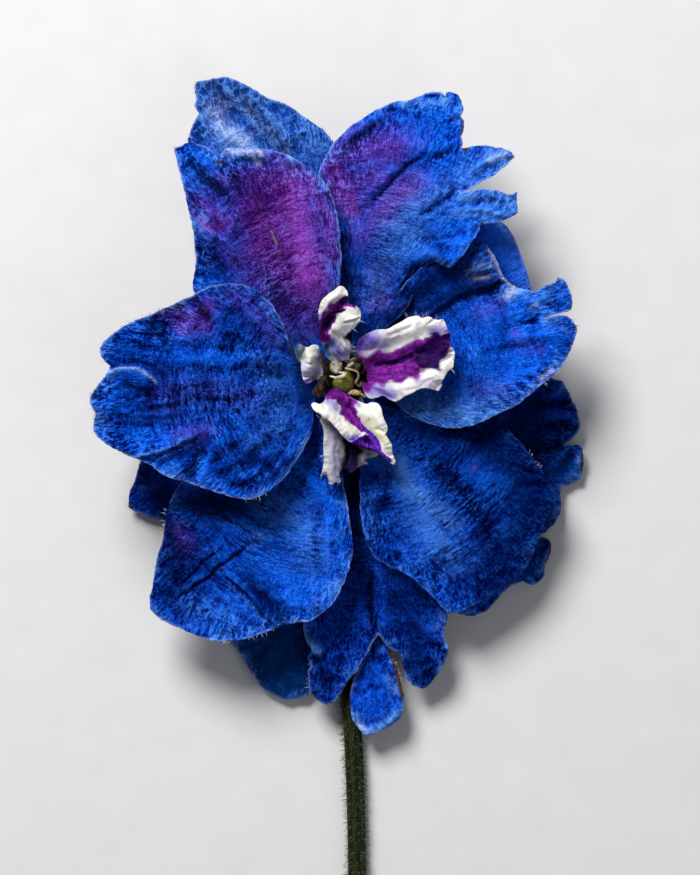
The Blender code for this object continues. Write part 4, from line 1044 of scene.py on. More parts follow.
        pleats=[(0.35, 0.5, [(13.0, 12.0), (15.6, 12.6)]), (-0.35, 0.4, [(12.6, 11.2), (15.8, 11.9)]),
                (0.45, 0.5, [(17.2, 9.9), (19.6, 8.8), (21.2, 9.4)]),
                (-0.35, 0.35, [(19.0, 10.2), (20.6, 8.6), (22.8, 7.9)]),
                (0.4, 0.35, [(22.1, 11.1), (23.1, 10.2), (23.3, 9.0)]),
                (-0.5, 0.3, [(20.5, 7.1), (19.4, 6.7), (18.0, 6.4)]),
                (-0.25, 0.45, [(21.6, 4.0), (18.0, 4.0), (14.0, 3.2)]),
                (0.25, 0.5, [(23.4, 5.2), (20.0, 5.2), (16.0, 4.8)]),
                (-0.3, 0.28, [(22.7, 2.4), (21.2, 2.9)]), (-0.35, 0.25, [(22.1, 1.7), (20.6, 2.3)]),
                (-0.35, 0.25, [(21.3, 0.9), (19.8, 1.6)]), (-0.4, 0.25, [(20.3, 0.0), (18.8, 0.9)]),
                (-0.35, 0.25, [(19.3, -0.8), (17.8, 0.2)]), (-0.4, 0.28, [(18.2, -1.7), (16.8, -0.4)]),
                (-0.35, 0.25, [(17.0, -2.4), (15.8, -1.0)]), (-0.35, 0.3, [(15.8, -3.0), (14.8, -1.6)]),
                (0.3, 0.28, [(20.9, 0.5), (19.4, 1.3)]), (0.3, 0.28, [(19.8, -0.4), (18.4, 0.5)]),
                (0.3, 0.28, [(18.7, -1.2), (17.3, 0.0)])],
        laps=[(-0.8, 1.8, [(17.4, 10.9), (16.2, 11.0), (15.2, 10.55), (13.9, 10.1), (12.7, 9.9), (11.2, 9.2),
                           (9.4, 8.0), (7.6, 6.6)])],
        pale=[(0.7, 0.7, [(16.6, 9.3), (17.8, 9.9)]), (0.55, 0.5, [(19.8, 8.5), (19.4, 8.0)]),
              (1.0, 1.7, [(6.0, -1.6), (9.0, -2.8), (12.4, -3.2), (15.6, -2.2)]),
              (0.5, 0.45, [(17.6, -1.6), (20.8, 0.9), (22.4, 2.6)]), (0.45, 0.6, [(22.0, 6.7), (23.4, 5.8)]),
              (0.4, 0.8, [(21.4, 9.6), (20.6, 9.0)])],
        white=[(0.7, 0.4, [(17.4, 10.0), (16.7, 9.4)]), (0.5, 0.3, [(19.7, 8.4)]),
               (0.8, 0.22, [(16.4, 11.3), (17.6, 10.4)]), (0.55, 0.3, [(20.2, 0.6), (21.6, 1.6)])],
        grey=[(0.85, 0.9, [(13.2, 12.2), (15.0, 12.6)])],
        straw=[(0.8, 0.22, [(15.0, 14.2), (15.7, 12.9), (16.4, 11.4)]),
               (0.45, 0.2, [(13.4, 11.3), (14.8, 11.4)]), (0.9, 0.25, [(16.9, 10.8), (17.8, 10.3)])],
        scar=[(0.8, 0.2, [(22.3, 11.0)])],
        lush=[(0.5, 6.0, [(11.0, 3.0), (20.0, 5.0)])],
        violet=[(0.3, 1.0, [(13.8, 7.6), (15.6, 8.4)]), (0.25, 0.8, [(18.0, 4.4), (20.0, 3.8)]),
                (0.3, 1.1, [(13.6, -0.6), (16.4, -1.0)])],
        magenta=[(0.3, 0.4, [(17.6, 5.6)])],
        deep=[(1.0, 1.0, [(8.4, 8.2), (11.4, 9.9), (15.6, 10.9)]),
              (1.0, 2.2, [(4.4, 5.4), (7.0, 9.4), (10.6, 12.0)]), (0.7, 1.2, [(12.0, 14.0), (14.0, 14.4)]),
              (0.4, 1.2, [(23.0, 4.2)])],
        hairs=[((24.2, 5.9), 1.2, 16), ((22.8, 10.9), 1.2, 8), ((21.6, 0.8), 1.6, 8)],
    ),
    "inner_sepal_lower_right": dict(
        claw=(-52, 2.2), crinkle=0.32, curl=0.0, trim=0.35,
        outline=[
            [(4.0, -2.2), (8.6, -3.0), (13.6, -2.8), (16.4, -4.2), (18.1, -5.9), (18.9, -6.8), (19.8, -8.0),
             (20.6, -9.2), (21.4, -10.4), (22.0, -11.5)],
            [(21.7, -12.7), (20.8, -14.8), (20.0, -17.0), (19.0, -19.2), (17.9, -20.5), (16.2, -21.6),
             (13.8, -23.1), (11.9, -24.0), (10.6, -24.2)],
            [(9.8, -23.3), (8.2, -21.7), (6.0, -19.9), (4.3, -19.2), (2.9, -18.3), (1.9, -16.5), (1.4, -14.2),
             (1.2, -10.6), (1.4, -8.0), (1.9, -4.6)],
        ],
        pleats=[(0.6, 1.6, [(4.4, -8.0), (7.6, -12.6), (10.4, -18.0)]),
                (-0.5, 1.2, [(9.0, -8.6), (13.6, -13.0), (16.0, -18.4)]),
                (0.4, 1.4, [(12.0, -8.4), (17.0, -11.0), (20.6, -11.6)]),
                (-0.3, 0.3, [(20.4, -9.4), (18.4, -9.0)]), (-0.3, 0.3, [(21.3, -10.8), (19.2, -10.6)]),
                (-0.3, 0.4, [(6.2, -10.6), (9.0, -14.0), (12.4, -17.2)]),
                (-0.35, 0.35, [(8.6, -21.6), (9.8, -19.6), (10.6, -17.2)]),
                (0.3, 0.3, [(9.6, -22.6), (10.8, -20.4)]), (-0.3, 0.3, [(11.0, -23.6), (12.0, -21.0)]),
                (-0.25, 0.35, [(14.0, -22.4), (13.8, -19.6)]),
                (-0.35, 0.7, [(2.4, -16.4), (3.8, -12.4), (4.2, -8.4)])],
        pale=[(0.6, 1.4, [(4.8, -8.0), (7.0, -11.4), (11.0, -14.6)]),
              (0.35, 2.4, [(7.6, -14.0), (10.6, -18.0)]), (0.3, 0.8, [(2.4, -12.0), (2.6, -15.4)])],
        deep=[(1.0, 5.2, [(12.4, -3.8), (18.4, -8.0), (20.0, -13.0)]),
              (1.0, 4.6, [(19.6, -13.6), (16.0, -20.8)]), (0.7, 1.0, [(3.2, -5.0), (6.6, -5.0)]),
              (0.24, 9.0, [(6.0, -10.0), (10.0, -16.0)])],
        magenta=[(0.25, 0.3, [(13.4, -8.8)])],
        scar=[(0.4, 0.16, [(16.2, -21.4), (13.8, -22.9)])],
        hairs=[((19.6, -7.8), 1.2, 10)],
    ),
    "inner_sepal_lower_left": dict(
        claw=(238, 2.2), crinkle=0.30, curl=0.05,
        outline=[
            [(-0.9, -5.6), (-0.5, -10.2), (-0.1, -12.2), (0.25, -14.8), (0.55, -16.5), (0.45, -18.1),
             (0.0, -19.7), (-0.6, -21.3), (-1.5, -22.9), (-2.75, -24.1), (-4.0, -24.9), (-4.9, -25.1)],
            [(-6.2, -25.2), (-7.6, -25.7), (-8.8, -26.15), (-10.4, -26.7), (-12.0, -27.0), (-13.6, -27.05),
             (-15.2, -26.8), (-16.9, -26.1), (-18.3, -25.5), (-19.9, -24.7), (-20.9, -23.7)],
            [(-21.0, -22.6), (-20.7, -21.3), (-20.4, -19.3), (-20.1, -17.9), (-19.6, -16.5), (-19.4, -14.85),
             (-19.2, -13.4), (-18.7, -12.0), (-17.7, -10.3), (-16.0, -8.4), (-10.8, -6.2), (-5.6, -4.2),
             (-4.0, -2.6)],
        ],
        pleats=[(-0.45, 0.15, [(-15.6, -13.5), (-14.0, -13.7), (-12.4, -14.4), (-10.8, -15.3),
                               (-9.6, -16.1)]),
                (0.3, 0.5, [(-14.0, -14.5), (-11.6, -15.8)]),
                (-0.5, 0.16, [(-18.0, -22.7), (-15.7, -20.9), (-14.0, -19.6), (-12.0, -18.1),
                              (-10.0, -16.5)]),
                (0.25, 0.25, [(-9.8, -16.2), (-8.2, -14.9), (-7.4, -14.0)]),
                (-0.35, 0.15, [(-18.4, -21.8), (-14.85, -18.4), (-13.0, -16.9)]),
                (0.3, 0.4, [(-18.0, -22.3), (-14.6, -19.3)]), (-0.3, 0.35, [(-12.2, -19.6), (-8.0, -23.2)]),
                (-0.25, 0.35, [(-10.6, -18.4), (-6.4, -22.0)]),
                (-0.3, 0.4, [(-2.6, -12.8), (-3.4, -16.0), (-3.2, -19.6)]),
                (0.3, 0.5, [(-1.6, -13.0), (-2.2, -16.6), (-1.8, -20.0)]),
                (-0.3, 0.22, [(-8.6, -26.0), (-8.6, -25.0)]), (-0.35, 0.22, [(-9.8, -26.5), (-9.6, -25.3)]),
                (-0.35, 0.22, [(-11.0, -26.8), (-10.8, -25.6)]),
                (-0.35, 0.22, [(-12.2, -27.0), (-12.0, -25.8)]),
                (-0.3, 0.22, [(-13.4, -27.0), (-13.2, -26.0)]), (-0.3, 0.3, [(-3.6, -24.8), (-3.4, -23.4)]),
                (-0.3, 0.3, [(-4.8, -24.9), (-4.8, -23.6)]),
                (0.5, 0.5, [(-6.8, -6.6), (-4.6, -9.0), (-2.6, -12.0)])],
        laps=[(-1.1, 2.4, [(-7.0, -25.7), (-8.0, -25.1), (-9.0, -24.1), (-10.2, -22.5), (-11.6, -21.3),
                           (-13.2, -19.6), (-14.2, -17.6), (-15.1, -15.4)])],
        violet=[(0.35, 1.0, [(-17.6, -15.4), (-16.8, -17.4)])],
        pale=[(0.4, 2.2, [(-8.0, -13.2), (-5.0, -14.6), (-3.8, -18.0)]),
              (0.3, 0.8, [(-10.0, -16.6), (-8.0, -15.0)]), (0.3, 1.4, [(-17.0, -23.6), (-12.6, -24.6)]),
              (0.6, 0.35, [(-20.9, -23.2), (-19.2, -24.9)]), (0.4, 0.7, [(-3.4, -23.4), (-0.8, -20.4)]),
              (0.4, 0.4, [(-9.0, -25.6), (-13.0, -26.4)]),
              (0.6, 0.22, [(-8.6, -25.2), (-10.8, -22.7), (-12.6, -21.0)])],
        lush=[(0.5, 5.0, [(-5.0, -15.0), (-6.0, -21.0)])],
        scar=[(0.9, 0.25, [(-9.7, -16.0)]), (0.8, 0.22, [(-8.4, -17.8)]), (0.8, 0.2, [(-13.2, -19.4)]),
              (0.8, 0.2, [(-14.2, -17.1)]), (0.8, 0.2, [(-15.0, -14.7)]),
              (0.5, 0.12, [(-15.6, -13.5), (-12.4, -14.4), (-9.8, -15.9)]),
              (0.5, 0.14, [(-19.5, -15.0), (-19.4, -13.8)]), (0.6, 0.18, [(-17.0, -26.0)])],
        deep=[(1.0, 2.0, [(-18.4, -12.6), (-13.0, -12.4), (-9.6, -11.2)]),
              (0.9, 1.3, [(-10.6, -20.6), (-7.0, -24.4)]), (1.0, 3.0, [(-18.6, -15.0), (-18.0, -20.8)])],
        hairs=[((-19.4, -15.0), 2.0, 24), ((-20.4, -19.4), 1.6, 12), ((-12.0, -27.0), 2.4, 12),
               ((-8.6, -26.2), 1.0, 4)],
    ),
}

inner_blue = sepal_finish("inner_sepal_blue", dark=(0.0002, 0.0012, 0.042), blue=(0.0006, 0.027, 0.45),
                          light=(0.004, 0.145, 0.97), glint=(0.040, 0.30, 1.0))
for seed, (node, sepal) in enumerate(INNER_SEPALS.items(), start=13):
    shape = petal_shape(node, 10 * seed, **INNER_SHEET, **sepal)
    dress(node, "blade", shape, inner_blue)

# ---------------------------------------------------------------------------------------------
# The bee petals: five small true petals that stand up round the carpels like a bee in the flower.
# They are thicker and stiffer than the sepals, white going lilac in their folds, each with a violet
# stripe, and bristly with fine hairs along the rim.

BEE_SHEET = dict(spacing=0.09, thickness=0.24, melt=0.4, neck=(2.8, 4.2), swell=0.1, crease=0.45,
                 ragged=0.04, hair=(0.5, 1.0))
BEES = {
    "bee_petal_right": dict(
        claw=(8, 1.5), seat=2.3, crinkle=0.06, ruffle=0.2,
        outline=[
            [(1.55, 2.3), (1.2, 2.8), (1.0, 3.5), (1.0, 4.3), (1.25, 4.9), (1.7, 5.25), (2.3, 5.55),
             (3.1, 5.8), (4.1, 5.85), (4.9, 6.25), (5.6, 6.65), (6.3, 7.05), (6.9, 7.2), (7.4, 7.25)],
            [(7.7, 7.0), (8.2, 7.1), (8.6, 7.1), (9.1, 6.85), (9.6, 6.8), (9.95, 6.85)],
            [(10.2, 6.5), (10.4, 5.9), (10.65, 5.4), (10.7, 4.8), (10.75, 4.1), (11.05, 3.75), (11.2, 3.2),
             (11.1, 2.4), (11.0, 1.8), (10.5, 1.4), (10.2, 0.9), (9.85, 0.35), (9.85, -0.1), (9.5, -0.65)],
            [(8.9, -0.5), (8.1, -0.35), (7.5, -0.45), (6.8, -0.85), (6.0, -1.2), (5.4, -1.6), (4.9, -1.75),
             (4.3, -1.5), (3.7, -1.15), (3.0, -1.35), (2.4, -1.45), (1.9, -1.15), (1.6, -0.5), (1.45, 0.2)],
        ],
        pleats=[(0.35, 1.1, [(3.4, 5.0), (5.4, 5.6), (7.8, 6.3), (9.9, 6.5)]),
                (0.5, 0.8, [(3.2, -0.5), (6.0, -0.1), (8.4, 0.6), (10.6, 2.2)]),
                (0.3, 0.6, [(1.6, 1.4), (4.4, 1.4), (7.2, 2.0), (8.6, 2.6)]),
                (0.3, 0.5, [(1.6, 2.9), (4.4, 3.2), (6.6, 3.9), (9.4, 4.9)]),
                (-0.28, 0.22, [(3.0, 2.25), (5.0, 2.4), (6.6, 3.05), (8.4, 3.4)]),
                (-0.2, 0.3, [(2.4, 0.5), (4.4, 0.2), (6.4, 0.75), (8.6, 1.7)]),
                (-0.22, 0.25, [(6.2, 5.8), (6.9, 6.4), (7.0, 7.1)]), (0.2, 0.25, [(7.0, 6.2), (7.5, 7.1)]),
                (-0.25, 0.18, [(8.4, 6.3), (9.2, 6.8)]), (-0.25, 0.3, [(4.0, 5.2), (6.4, 5.9)]),
                (-0.25, 0.25, [(8.8, 0.2), (9.8, 0.2)]),
                (-0.18, 0.25, [(5.6, -0.7), (7.6, -0.1), (9.4, 0.8)]),
                (-0.5, 0.35, [(2.2, -0.2), (3.4, -0.8), (4.4, -1.4)]), (-0.3, 0.2, [(9.4, 2.0), (10.8, 2.9)]),
                (0.25, 0.2, [(9.6, 3.4), (10.6, 4.0)]), (-0.35, 0.3, [(1.6, 3.5), (3.4, 4.1)])],
        magenta=[(1.0, 1.9, [(1.7, 1.55), (4.2, 1.75), (6.4, 2.4)]), (1.0, 1.85, [(6.2, 2.45), (8.0, 3.2)]),
                 (1.0, 1.25, [(8.2, 3.4), (9.6, 4.2)]), (1.0, 0.75, [(9.6, 4.4), (10.8, 4.9)])],
        violet=[(0.35, 0.9, [(2.2, 1.0), (4.6, 1.0), (7.2, 1.6)]),
                (0.85, 0.35, [(3.0, 2.2), (5.0, 2.4), (6.8, 3.05)]), (1.6, 1.4, [(8.4, 2.9), (9.2, 3.7)]),
                (1.1, 0.55, [(9.4, 4.5), (10.7, 4.9)]), (0.55, 0.5, [(5.6, 3.6), (7.4, 4.2)]),
                (0.5, 0.3, [(2.2, 0.6), (4.6, 0.3), (6.8, 1.0), (8.4, 1.8)]),
                (0.45, 0.6, [(1.9, -0.3), (2.4, -1.0)])],
        indigo=[(0.5, 1.4, [(8.4, 2.8), (9.4, 4.2)]), (0.55, 0.6, [(1.1, 3.6), (1.4, 4.5)])],
        lilac=[(1.1, 1.3, [(1.3, 4.3), (2.4, 4.7)]), (0.8, 0.7, [(2.2, 3.9), (3.6, 4.1)]),
               (0.9, 0.5, [(8.8, 5.6), (10.3, 5.8)]), (1.0, 0.9, [(1.9, -0.2), (3.0, -0.6), (4.4, -1.1)]),
               (0.45, 0.5, [(7.4, 0.2), (9.2, 0.0)]), (0.8, 0.3, [(10.6, 3.6), (10.0, 3.0)])],
        stain=[(0.5, 0.09, [(5.35, 5.15)])],
        hairs=[((7.0, 7.1), 0.9, 8), ((8.6, 7.0), 0.9, 6), ((1.2, 3.2), 0.7, 10), ((10.6, 1.4), 0.4, 2)],
    ),
    "bee_petal_top": dict(
        claw=(100, 1.6), seat=1.85, crinkle=0.05, ruffle=0.15,
        outline=[
            [(-1.9, 2.6), (-2.3, 3.1), (-2.55, 3.9), (-2.85, 4.6), (-3.0, 5.5), (-3.0, 6.3), (-3.05, 7.1),
             (-3.05, 7.9), (-2.8, 8.7), (-2.4, 9.15), (-1.9, 9.6), (-1.3, 10.0), (-0.85, 10.3), (-0.45, 10.2),
             (-0.1, 9.8), (0.0, 9.4), (-0.05, 8.9), (0.15, 8.45)],
            [(0.45, 8.35), (0.85, 8.25), (1.2, 7.9), (1.35, 7.3), (1.25, 6.7), (0.9, 6.2), (0.4, 5.7),
             (-0.05, 5.35), (-0.3, 5.0)],
            [(0.05, 4.8), (0.25, 4.4), (0.35, 3.8), (0.2, 3.2)],
        ],
        pleats=[(0.6, 0.6, [(-2.7, 7.2), (-2.4, 8.3), (-1.2, 9.6)]),
                (0.7, 0.85, [(-1.3, 5.2), (-0.4, 6.4), (0.6, 7.3)]),
                (-0.8, 0.45, [(-2.5, 5.6), (-1.8, 7.1), (-0.4, 8.7)]),
                (-0.2, 0.18, [(-2.7, 7.8), (-2.2, 8.8), (-1.0, 9.9)]),
                (-0.18, 0.11, [(-0.4, 6.3), (0.4, 6.75), (1.1, 6.9)]),
                (0.2, 0.12, [(-0.3, 6.6), (0.4, 7.05), (1.2, 7.2)]),
                (1.2, 1.1, [(-1.5, 3.4), (-0.6, 3.7), (0.1, 4.1)]),
                (-0.5, 0.3, [(-2.2, 4.3), (-2.0, 3.4), (-1.7, 2.9)]),
                (-0.18, 0.12, [(-1.6, 4.4), (-1.0, 3.4), (-0.5, 2.8)]),
                (-0.18, 0.12, [(-1.0, 4.5), (-0.4, 3.7), (0.0, 3.0)])],
        magenta=[(1.0, 0.8, [(-2.65, 5.0), (-2.5, 6.2), (-2.0, 7.1)]),
                 (1.0, 0.5, [(-1.7, 7.6), (-0.8, 8.4), (-0.2, 8.9)]), (0.9, 0.3, [(-0.2, 8.5), (0.6, 8.3)]),
                 (1.0, 0.5, [(-1.7, 8.0), (-0.8, 8.0)])],
        lilac=[(0.7, 0.4, [(-2.4, 7.5), (-1.6, 8.3)]), (0.8, 0.3, [(-2.95, 5.0), (-3.0, 6.2), (-2.85, 7.2)]),
               (1.0, 0.8, [(-1.9, 4.5), (-1.2, 3.6), (-0.4, 2.9)]), (0.5, 0.4, [(-0.3, 3.8), (0.2, 3.4)])],
        violet=[(1.0, 0.5, [(-2.5, 6.0), (-2.3, 6.6), (-1.9, 7.0)]), (1.0, 0.45, [(-0.6, 8.7), (-0.1, 8.9)]),
                (1.0, 0.16, [(-1.7, 7.55), (-1.0, 7.65), (-0.4, 7.8)]),
                (0.6, 0.35, [(-2.7, 5.4), (-2.3, 4.8)])],
        sea=[(1.0, 0.6, [(-2.35, 4.0), (-2.1, 3.2)]), (0.8, 0.5, [(-2.3, 4.6), (-1.6, 4.3)])],
        dusk=[(0.7, 0.3, [(-1.8, 2.7), (-1.0, 2.5)])],
        cream=[(0.4, 0.2, [(-2.9, 8.2), (-2.2, 9.4), (-0.9, 10.3)])],
        grey=[(0.2, 0.35, [(-0.6, 9.7), (-0.2, 9.3)])],
        stain=[(0.8, 0.12, [(0.35, 5.75)]), (1.0, 0.22, [(-0.35, 4.95), (0.1, 4.7)]),
               (0.7, 0.1, [(0.0, 5.4)])],
        hairs=[((0.7, 6.0), 0.3, 2), ((1.3, 6.8), 0.2, 2), ((0.3, 3.8), 0.4, 9)],
    ),
    "bee_petal_left": dict(
        claw=(176, 1.2), seat=2.35, crinkle=0.04, ruffle=0.1,
        outline=[
            [(-3.1, 0.5), (-3.6, 0.5), (-3.9, 0.3), (-4.25, 0.15), (-4.55, 0.3), (-4.75, 0.7), (-4.9, 1.3),
             (-4.95, 1.9), (-4.9, 2.35)],
            [(-5.3, 2.6), (-5.55, 3.2), (-5.6, 3.8), (-5.2, 4.3), (-4.75, 4.1), (-4.2, 3.95), (-3.8, 4.2),
             (-3.4, 4.25), (-3.1, 4.05), (-2.95, 3.5), (-2.95, 2.8), (-2.75, 2.0)],
        ],
        pleats=[(0.9, 0.75, [(-4.1, 0.9), (-4.0, 2.0), (-3.7, 3.5)]),
                (-0.3, 0.16, [(-4.7, 2.3), (-4.1, 2.1), (-3.5, 2.2)]),
                (-0.9, 0.25, [(-5.0, 2.2), (-4.85, 3.2), (-4.5, 4.0)]),
                (-0.4, 0.18, [(-4.5, 0.8), (-3.9, 1.0), (-3.3, 0.8)]),
                (0.25, 0.15, [(-4.4, 0.5), (-3.9, 0.7)])],
        sea=[(1.0, 0.75, [(-5.5, 2.6), (-5.4, 4.0)]), (0.9, 0.35, [(-3.0, 3.6), (-3.0, 2.6)])],
        lilac=[(1.0, 0.3, [(-4.5, 0.4), (-4.0, 0.6), (-3.4, 0.6)]), (0.6, 0.6, [(-4.4, 1.4), (-3.2, 1.4)]),
               (0.5, 0.4, [(-3.1, 1.9), (-2.9, 1.4)])],
        cream=[(0.4, 0.5, [(-4.1, 3.2), (-3.6, 3.8)])],
    ),
    "bee_petal_bottom": dict(
        claw=(-116, 0.85), seat=1.36, crinkle=0.05, ruffle=0.15,
        outline=[
            [(-0.25, -0.85), (0.2, -1.2), (0.8, -1.55), (1.4, -1.8), (1.95, -2.0), (2.4, -1.85), (2.8, -1.85),
             (3.2, -2.0), (3.5, -2.5), (3.65, -3.2), (3.85, -3.8), (4.15, -4.4), (4.15, -4.85), (3.95, -5.2)],
            [(4.3, -5.8), (4.6, -6.4), (4.65, -7.0), (4.8, -7.6), (5.0, -8.0), (4.85, -8.4)],
            [(4.4, -8.2), (3.8, -7.7), (3.1, -7.15), (2.2, -6.85), (1.2, -6.5), (0.5, -6.15), (0.0, -5.9),
             (-0.5, -5.45), (-1.2, -4.6), (-1.8, -3.95), (-2.3, -3.5)],
            [(-2.7, -3.45), (-2.9, -3.1), (-3.3, -2.9), (-3.65, -2.6), (-3.85, -2.1), (-3.6, -1.85),
             (-3.3, -1.9), (-3.0, -2.0), (-2.6, -1.8), (-2.4, -1.45), (-2.35, -1.1), (-2.1, -0.8),
             (-1.75, -0.5)],
        ],
        pleats=[(1.2, 0.8, [(-1.6, -0.9), (-0.8, -1.3), (0.4, -1.9)]),
                (0.6, 0.7, [(-2.9, -2.5), (-1.4, -3.2), (0.0, -4.4), (1.2, -5.1)]),
                (0.6, 0.9, [(1.4, -2.5), (2.6, -3.4), (3.3, -5.2), (4.4, -7.2)]),
                (-0.4, 0.4, [(-0.4, -1.8), (0.2, -2.8), (0.9, -3.8), (1.9, -4.8), (3.0, -6.0)]),
                (0.3, 0.25, [(1.4, -6.3), (2.8, -6.7), (4.2, -7.9)]), (-0.2, 0.2, [(3.9, -5.1), (3.0, -4.6)]),
                (-0.2, 0.2, [(2.0, -2.0), (2.1, -3.0)]), (-0.3, 0.2, [(-2.7, -2.1), (-2.2, -2.7)]),
                (-0.2, 0.2, [(-1.2, -3.7), (-0.6, -4.1), (0.2, -4.9)]),
                (-0.2, 0.12, [(-1.7, -0.6), (-1.1, -1.3), (-0.8, -2.2)]),
                (-0.2, 0.12, [(-1.0, -0.6), (-0.4, -1.4), (0.0, -2.4)])],
        laps=[(0.8, 0.7, [(2.2, -5.0), (1.7, -5.15), (1.2, -5.5), (0.5, -5.85), (-0.2, -5.9)])],
        magenta=[(1.0, 0.75, [(-1.9, -0.9), (-1.0, -0.9), (-0.4, -1.4)]),
                 (1.0, 0.95, [(-0.2, -1.8), (0.1, -2.7)]), (1.0, 0.72, [(0.2, -3.1), (0.7, -3.7)]),
                 (1.0, 0.42, [(0.7, -3.8), (1.5, -4.6)])],
        violet=[(0.5, 0.5, [(-0.7, -2.0), (-0.5, -3.0)]), (0.6, 0.3, [(-2.2, -0.9), (-1.5, -0.55)]),
                (1.0, 0.35, [(1.9, -5.8), (2.4, -6.1)]), (0.7, 0.25, [(1.0, -6.3), (2.4, -6.8)])],
        indigo=[(1.0, 0.24, [(1.4, -4.5), (2.3, -5.1), (3.1, -6.0), (3.3, -6.9)]),
                (1.0, 0.55, [(0.9, -6.2), (1.7, -5.8), (2.5, -6.1), (3.0, -6.8)]),
                (1.0, 0.4, [(1.9, -5.5), (2.6, -5.9)]), (1.0, 0.34, [(3.0, -6.9), (3.8, -7.6), (4.3, -7.95)]),
                (1.0, 0.4, [(1.2, -6.4), (2.6, -6.8)])],
        lilac=[(0.8, 0.4, [(-2.2, -1.5), (-1.6, -1.9), (-1.2, -2.5)]), (0.8, 0.3, [(0.4, -1.5), (1.1, -2.1)]),
               (0.9, 0.25, [(-0.5, -5.6), (0.4, -5.9), (1.3, -5.5)])],
        cream=[(0.8, 0.7, [(2.2, -3.8), (2.8, -4.8), (3.5, -6.0)]), (0.4, 0.4, [(0.2, -4.6), (-0.4, -4.0)])],
        stain=[(0.7, 0.1, [(2.15, -3.6)]), (0.6, 0.12, [(-3.1, -2.95), (-2.6, -3.4)])],
    ),
    "bee_petal_lower": dict(
        claw=(-58, 1.0), seat=2.45, crinkle=0.06, ruffle=0.2,
        outline=[
            [(2.2, -3.4), (2.9, -5.2), (3.2, -6.6), (3.1, -7.4), (2.6, -7.6), (2.1, -7.7), (1.8, -7.85)],
            [(2.05, -8.3), (1.4, -8.5), (0.7, -9.0), (0.1, -9.45)],
            [(0.0, -8.9), (-0.4, -8.8), (-0.9, -9.2), (-0.75, -10.1), (-0.95, -10.35), (-1.3, -10.25),
             (-1.65, -10.5), (-2.0, -10.4), (-2.15, -9.9), (-2.3, -9.4), (-2.5, -9.15), (-2.75, -9.3)],
            [(-2.65, -8.7), (-2.55, -7.8), (-2.6, -6.6), (-2.55, -5.2), (-2.7, -4.3), (-2.95, -3.7),
             (-2.5, -3.2), (-1.2, -2.9), (-0.2, -2.5)],
        ],
        pleats=[(0.45, 0.8, [(-1.7, -4.2), (-1.6, -7.0), (-1.6, -9.8)]),
                (-1.1, 0.6, [(0.2, -5.0), (0.2, -7.6), (-0.2, -9.0)]),
                (0.6, 0.45, [(1.8, -6.4), (1.4, -8.4)]), (-0.12, 0.22, [(-2.1, -4.8), (-2.0, -8.8)]),
                (-0.12, 0.22, [(-1.2, -5.4), (-1.3, -9.4)])],
        dusk=[(1.9, 0.95, [(0.4, -5.4), (0.4, -7.4), (0.2, -9.0)]), (1.0, 0.8, [(0.9, -1.2), (1.3, -2.3)])],
        violet=[(0.6, 1.3, [(0.3, -5.4), (0.3, -7.0), (-0.1, -8.8)])],
        lilac=[(0.3, 0.5, [(-1.5, -4.6), (-1.3, -7.4), (-1.3, -9.6)])],
        cream=[(0.8, 0.35, [(1.9, -6.9), (2.6, -7.3)]), (0.4, 0.5, [(-0.9, -5.8), (-1.1, -7.0)])],
        stain=[(1.0, 0.22, [(-2.4, -9.3), (-2.15, -10.0)]), (0.8, 0.14, [(2.2, -7.3)]),
               (0.8, 0.12, [(1.7, -7.9)]), (0.6, 0.1, [(1.0, -8.6)])],
        grey=[(0.8, 1.5, [(-1.8, -4.0), (-1.4, -7.0), (-1.3, -10.0)]),
              (1.0, 1.3, [(2.2, -6.6), (1.4, -8.4)])],
        hairs=[((-2.6, -7.6), 0.3, 5), ((-2.7, -9.2), 0.3, 5), ((-2.8, -3.6), 0.4, 3)],
    ),
}

bee_white = Finish("bee_white", Roughness=0.5, IOR=1.3, Specular_IOR_Level=0.12)
veins = bee_white.grain((0.7, 6.0, 1.0), detail=4, distortion=0.6)
arcs = 0.5 * bee_white.grain((3.4, 1.1, 1.0), detail=3, distortion=1.2)
arcs += 0.5 * bee_white.grain((0.9, 4.2, 1.0), detail=3, distortion=0.8)
pores = bee_white.grain((7.0, 8.0, 1.0), detail=3)
# The white is lighter along the veins and pores, and lighter on the crests as a painted highlight.
veins_and_crest_light = bee_white.between(0.5 * veins + 0.5 * pores + 0.25 * bee_white.mark("crest"), 0.38, 0.72)
body = bee_white.mixed(veins_and_crest_light, (0.50, 0.49, 0.53), (0.72, 0.715, 0.69))
body = bee_white.mixed(0.8 * bee_white.mark("cream"), body, (0.78, 0.74, 0.46))
shade = bee_white.mixed(veins_and_crest_light, (0.07, 0.07, 0.10), (0.24, 0.24, 0.30))
# On the bee petals the grey is painted shade, where they lie in shadow.
body = bee_white.mixed(0.9 * bee_white.mark("grey"), body, shade)
body = bee_white.mixed(bee_white.mark("lilac") * (0.35 + 1.1 * veins), body, (0.12, 0.075, 0.46))
body = bee_white.mixed(bee_white.mark("sea"), body, (0.015, 0.065, 0.18))
bloom = bee_white.mixed(bee_white.between(arcs, 0.38, 0.62), (0.045, 0.0012, 0.085), (0.25, 0.02, 0.36))
body = bee_white.mixed(bee_white.between(bee_white.mark("magenta") + 0.3 * arcs, 0.5, 0.72), body, bloom)
blue_violet = bee_white.mixed(bee_white.between(arcs, 0.38, 0.62), (0.020, 0.002, 0.10), (0.15, 0.025, 0.56))
body = bee_white.mixed(bee_white.between(bee_white.mark("indigo") + 0.3 * arcs, 0.5, 0.75), body, blue_violet)
dusk = bee_white.mixed(bee_white.between(arcs, 0.38, 0.64), (0.003, 0.0002, 0.018), (0.032, 0.002, 0.10))
body = bee_white.mixed(bee_white.between(bee_white.mark("violet") + 0.3 * arcs, 0.45, 0.9), body, dusk)
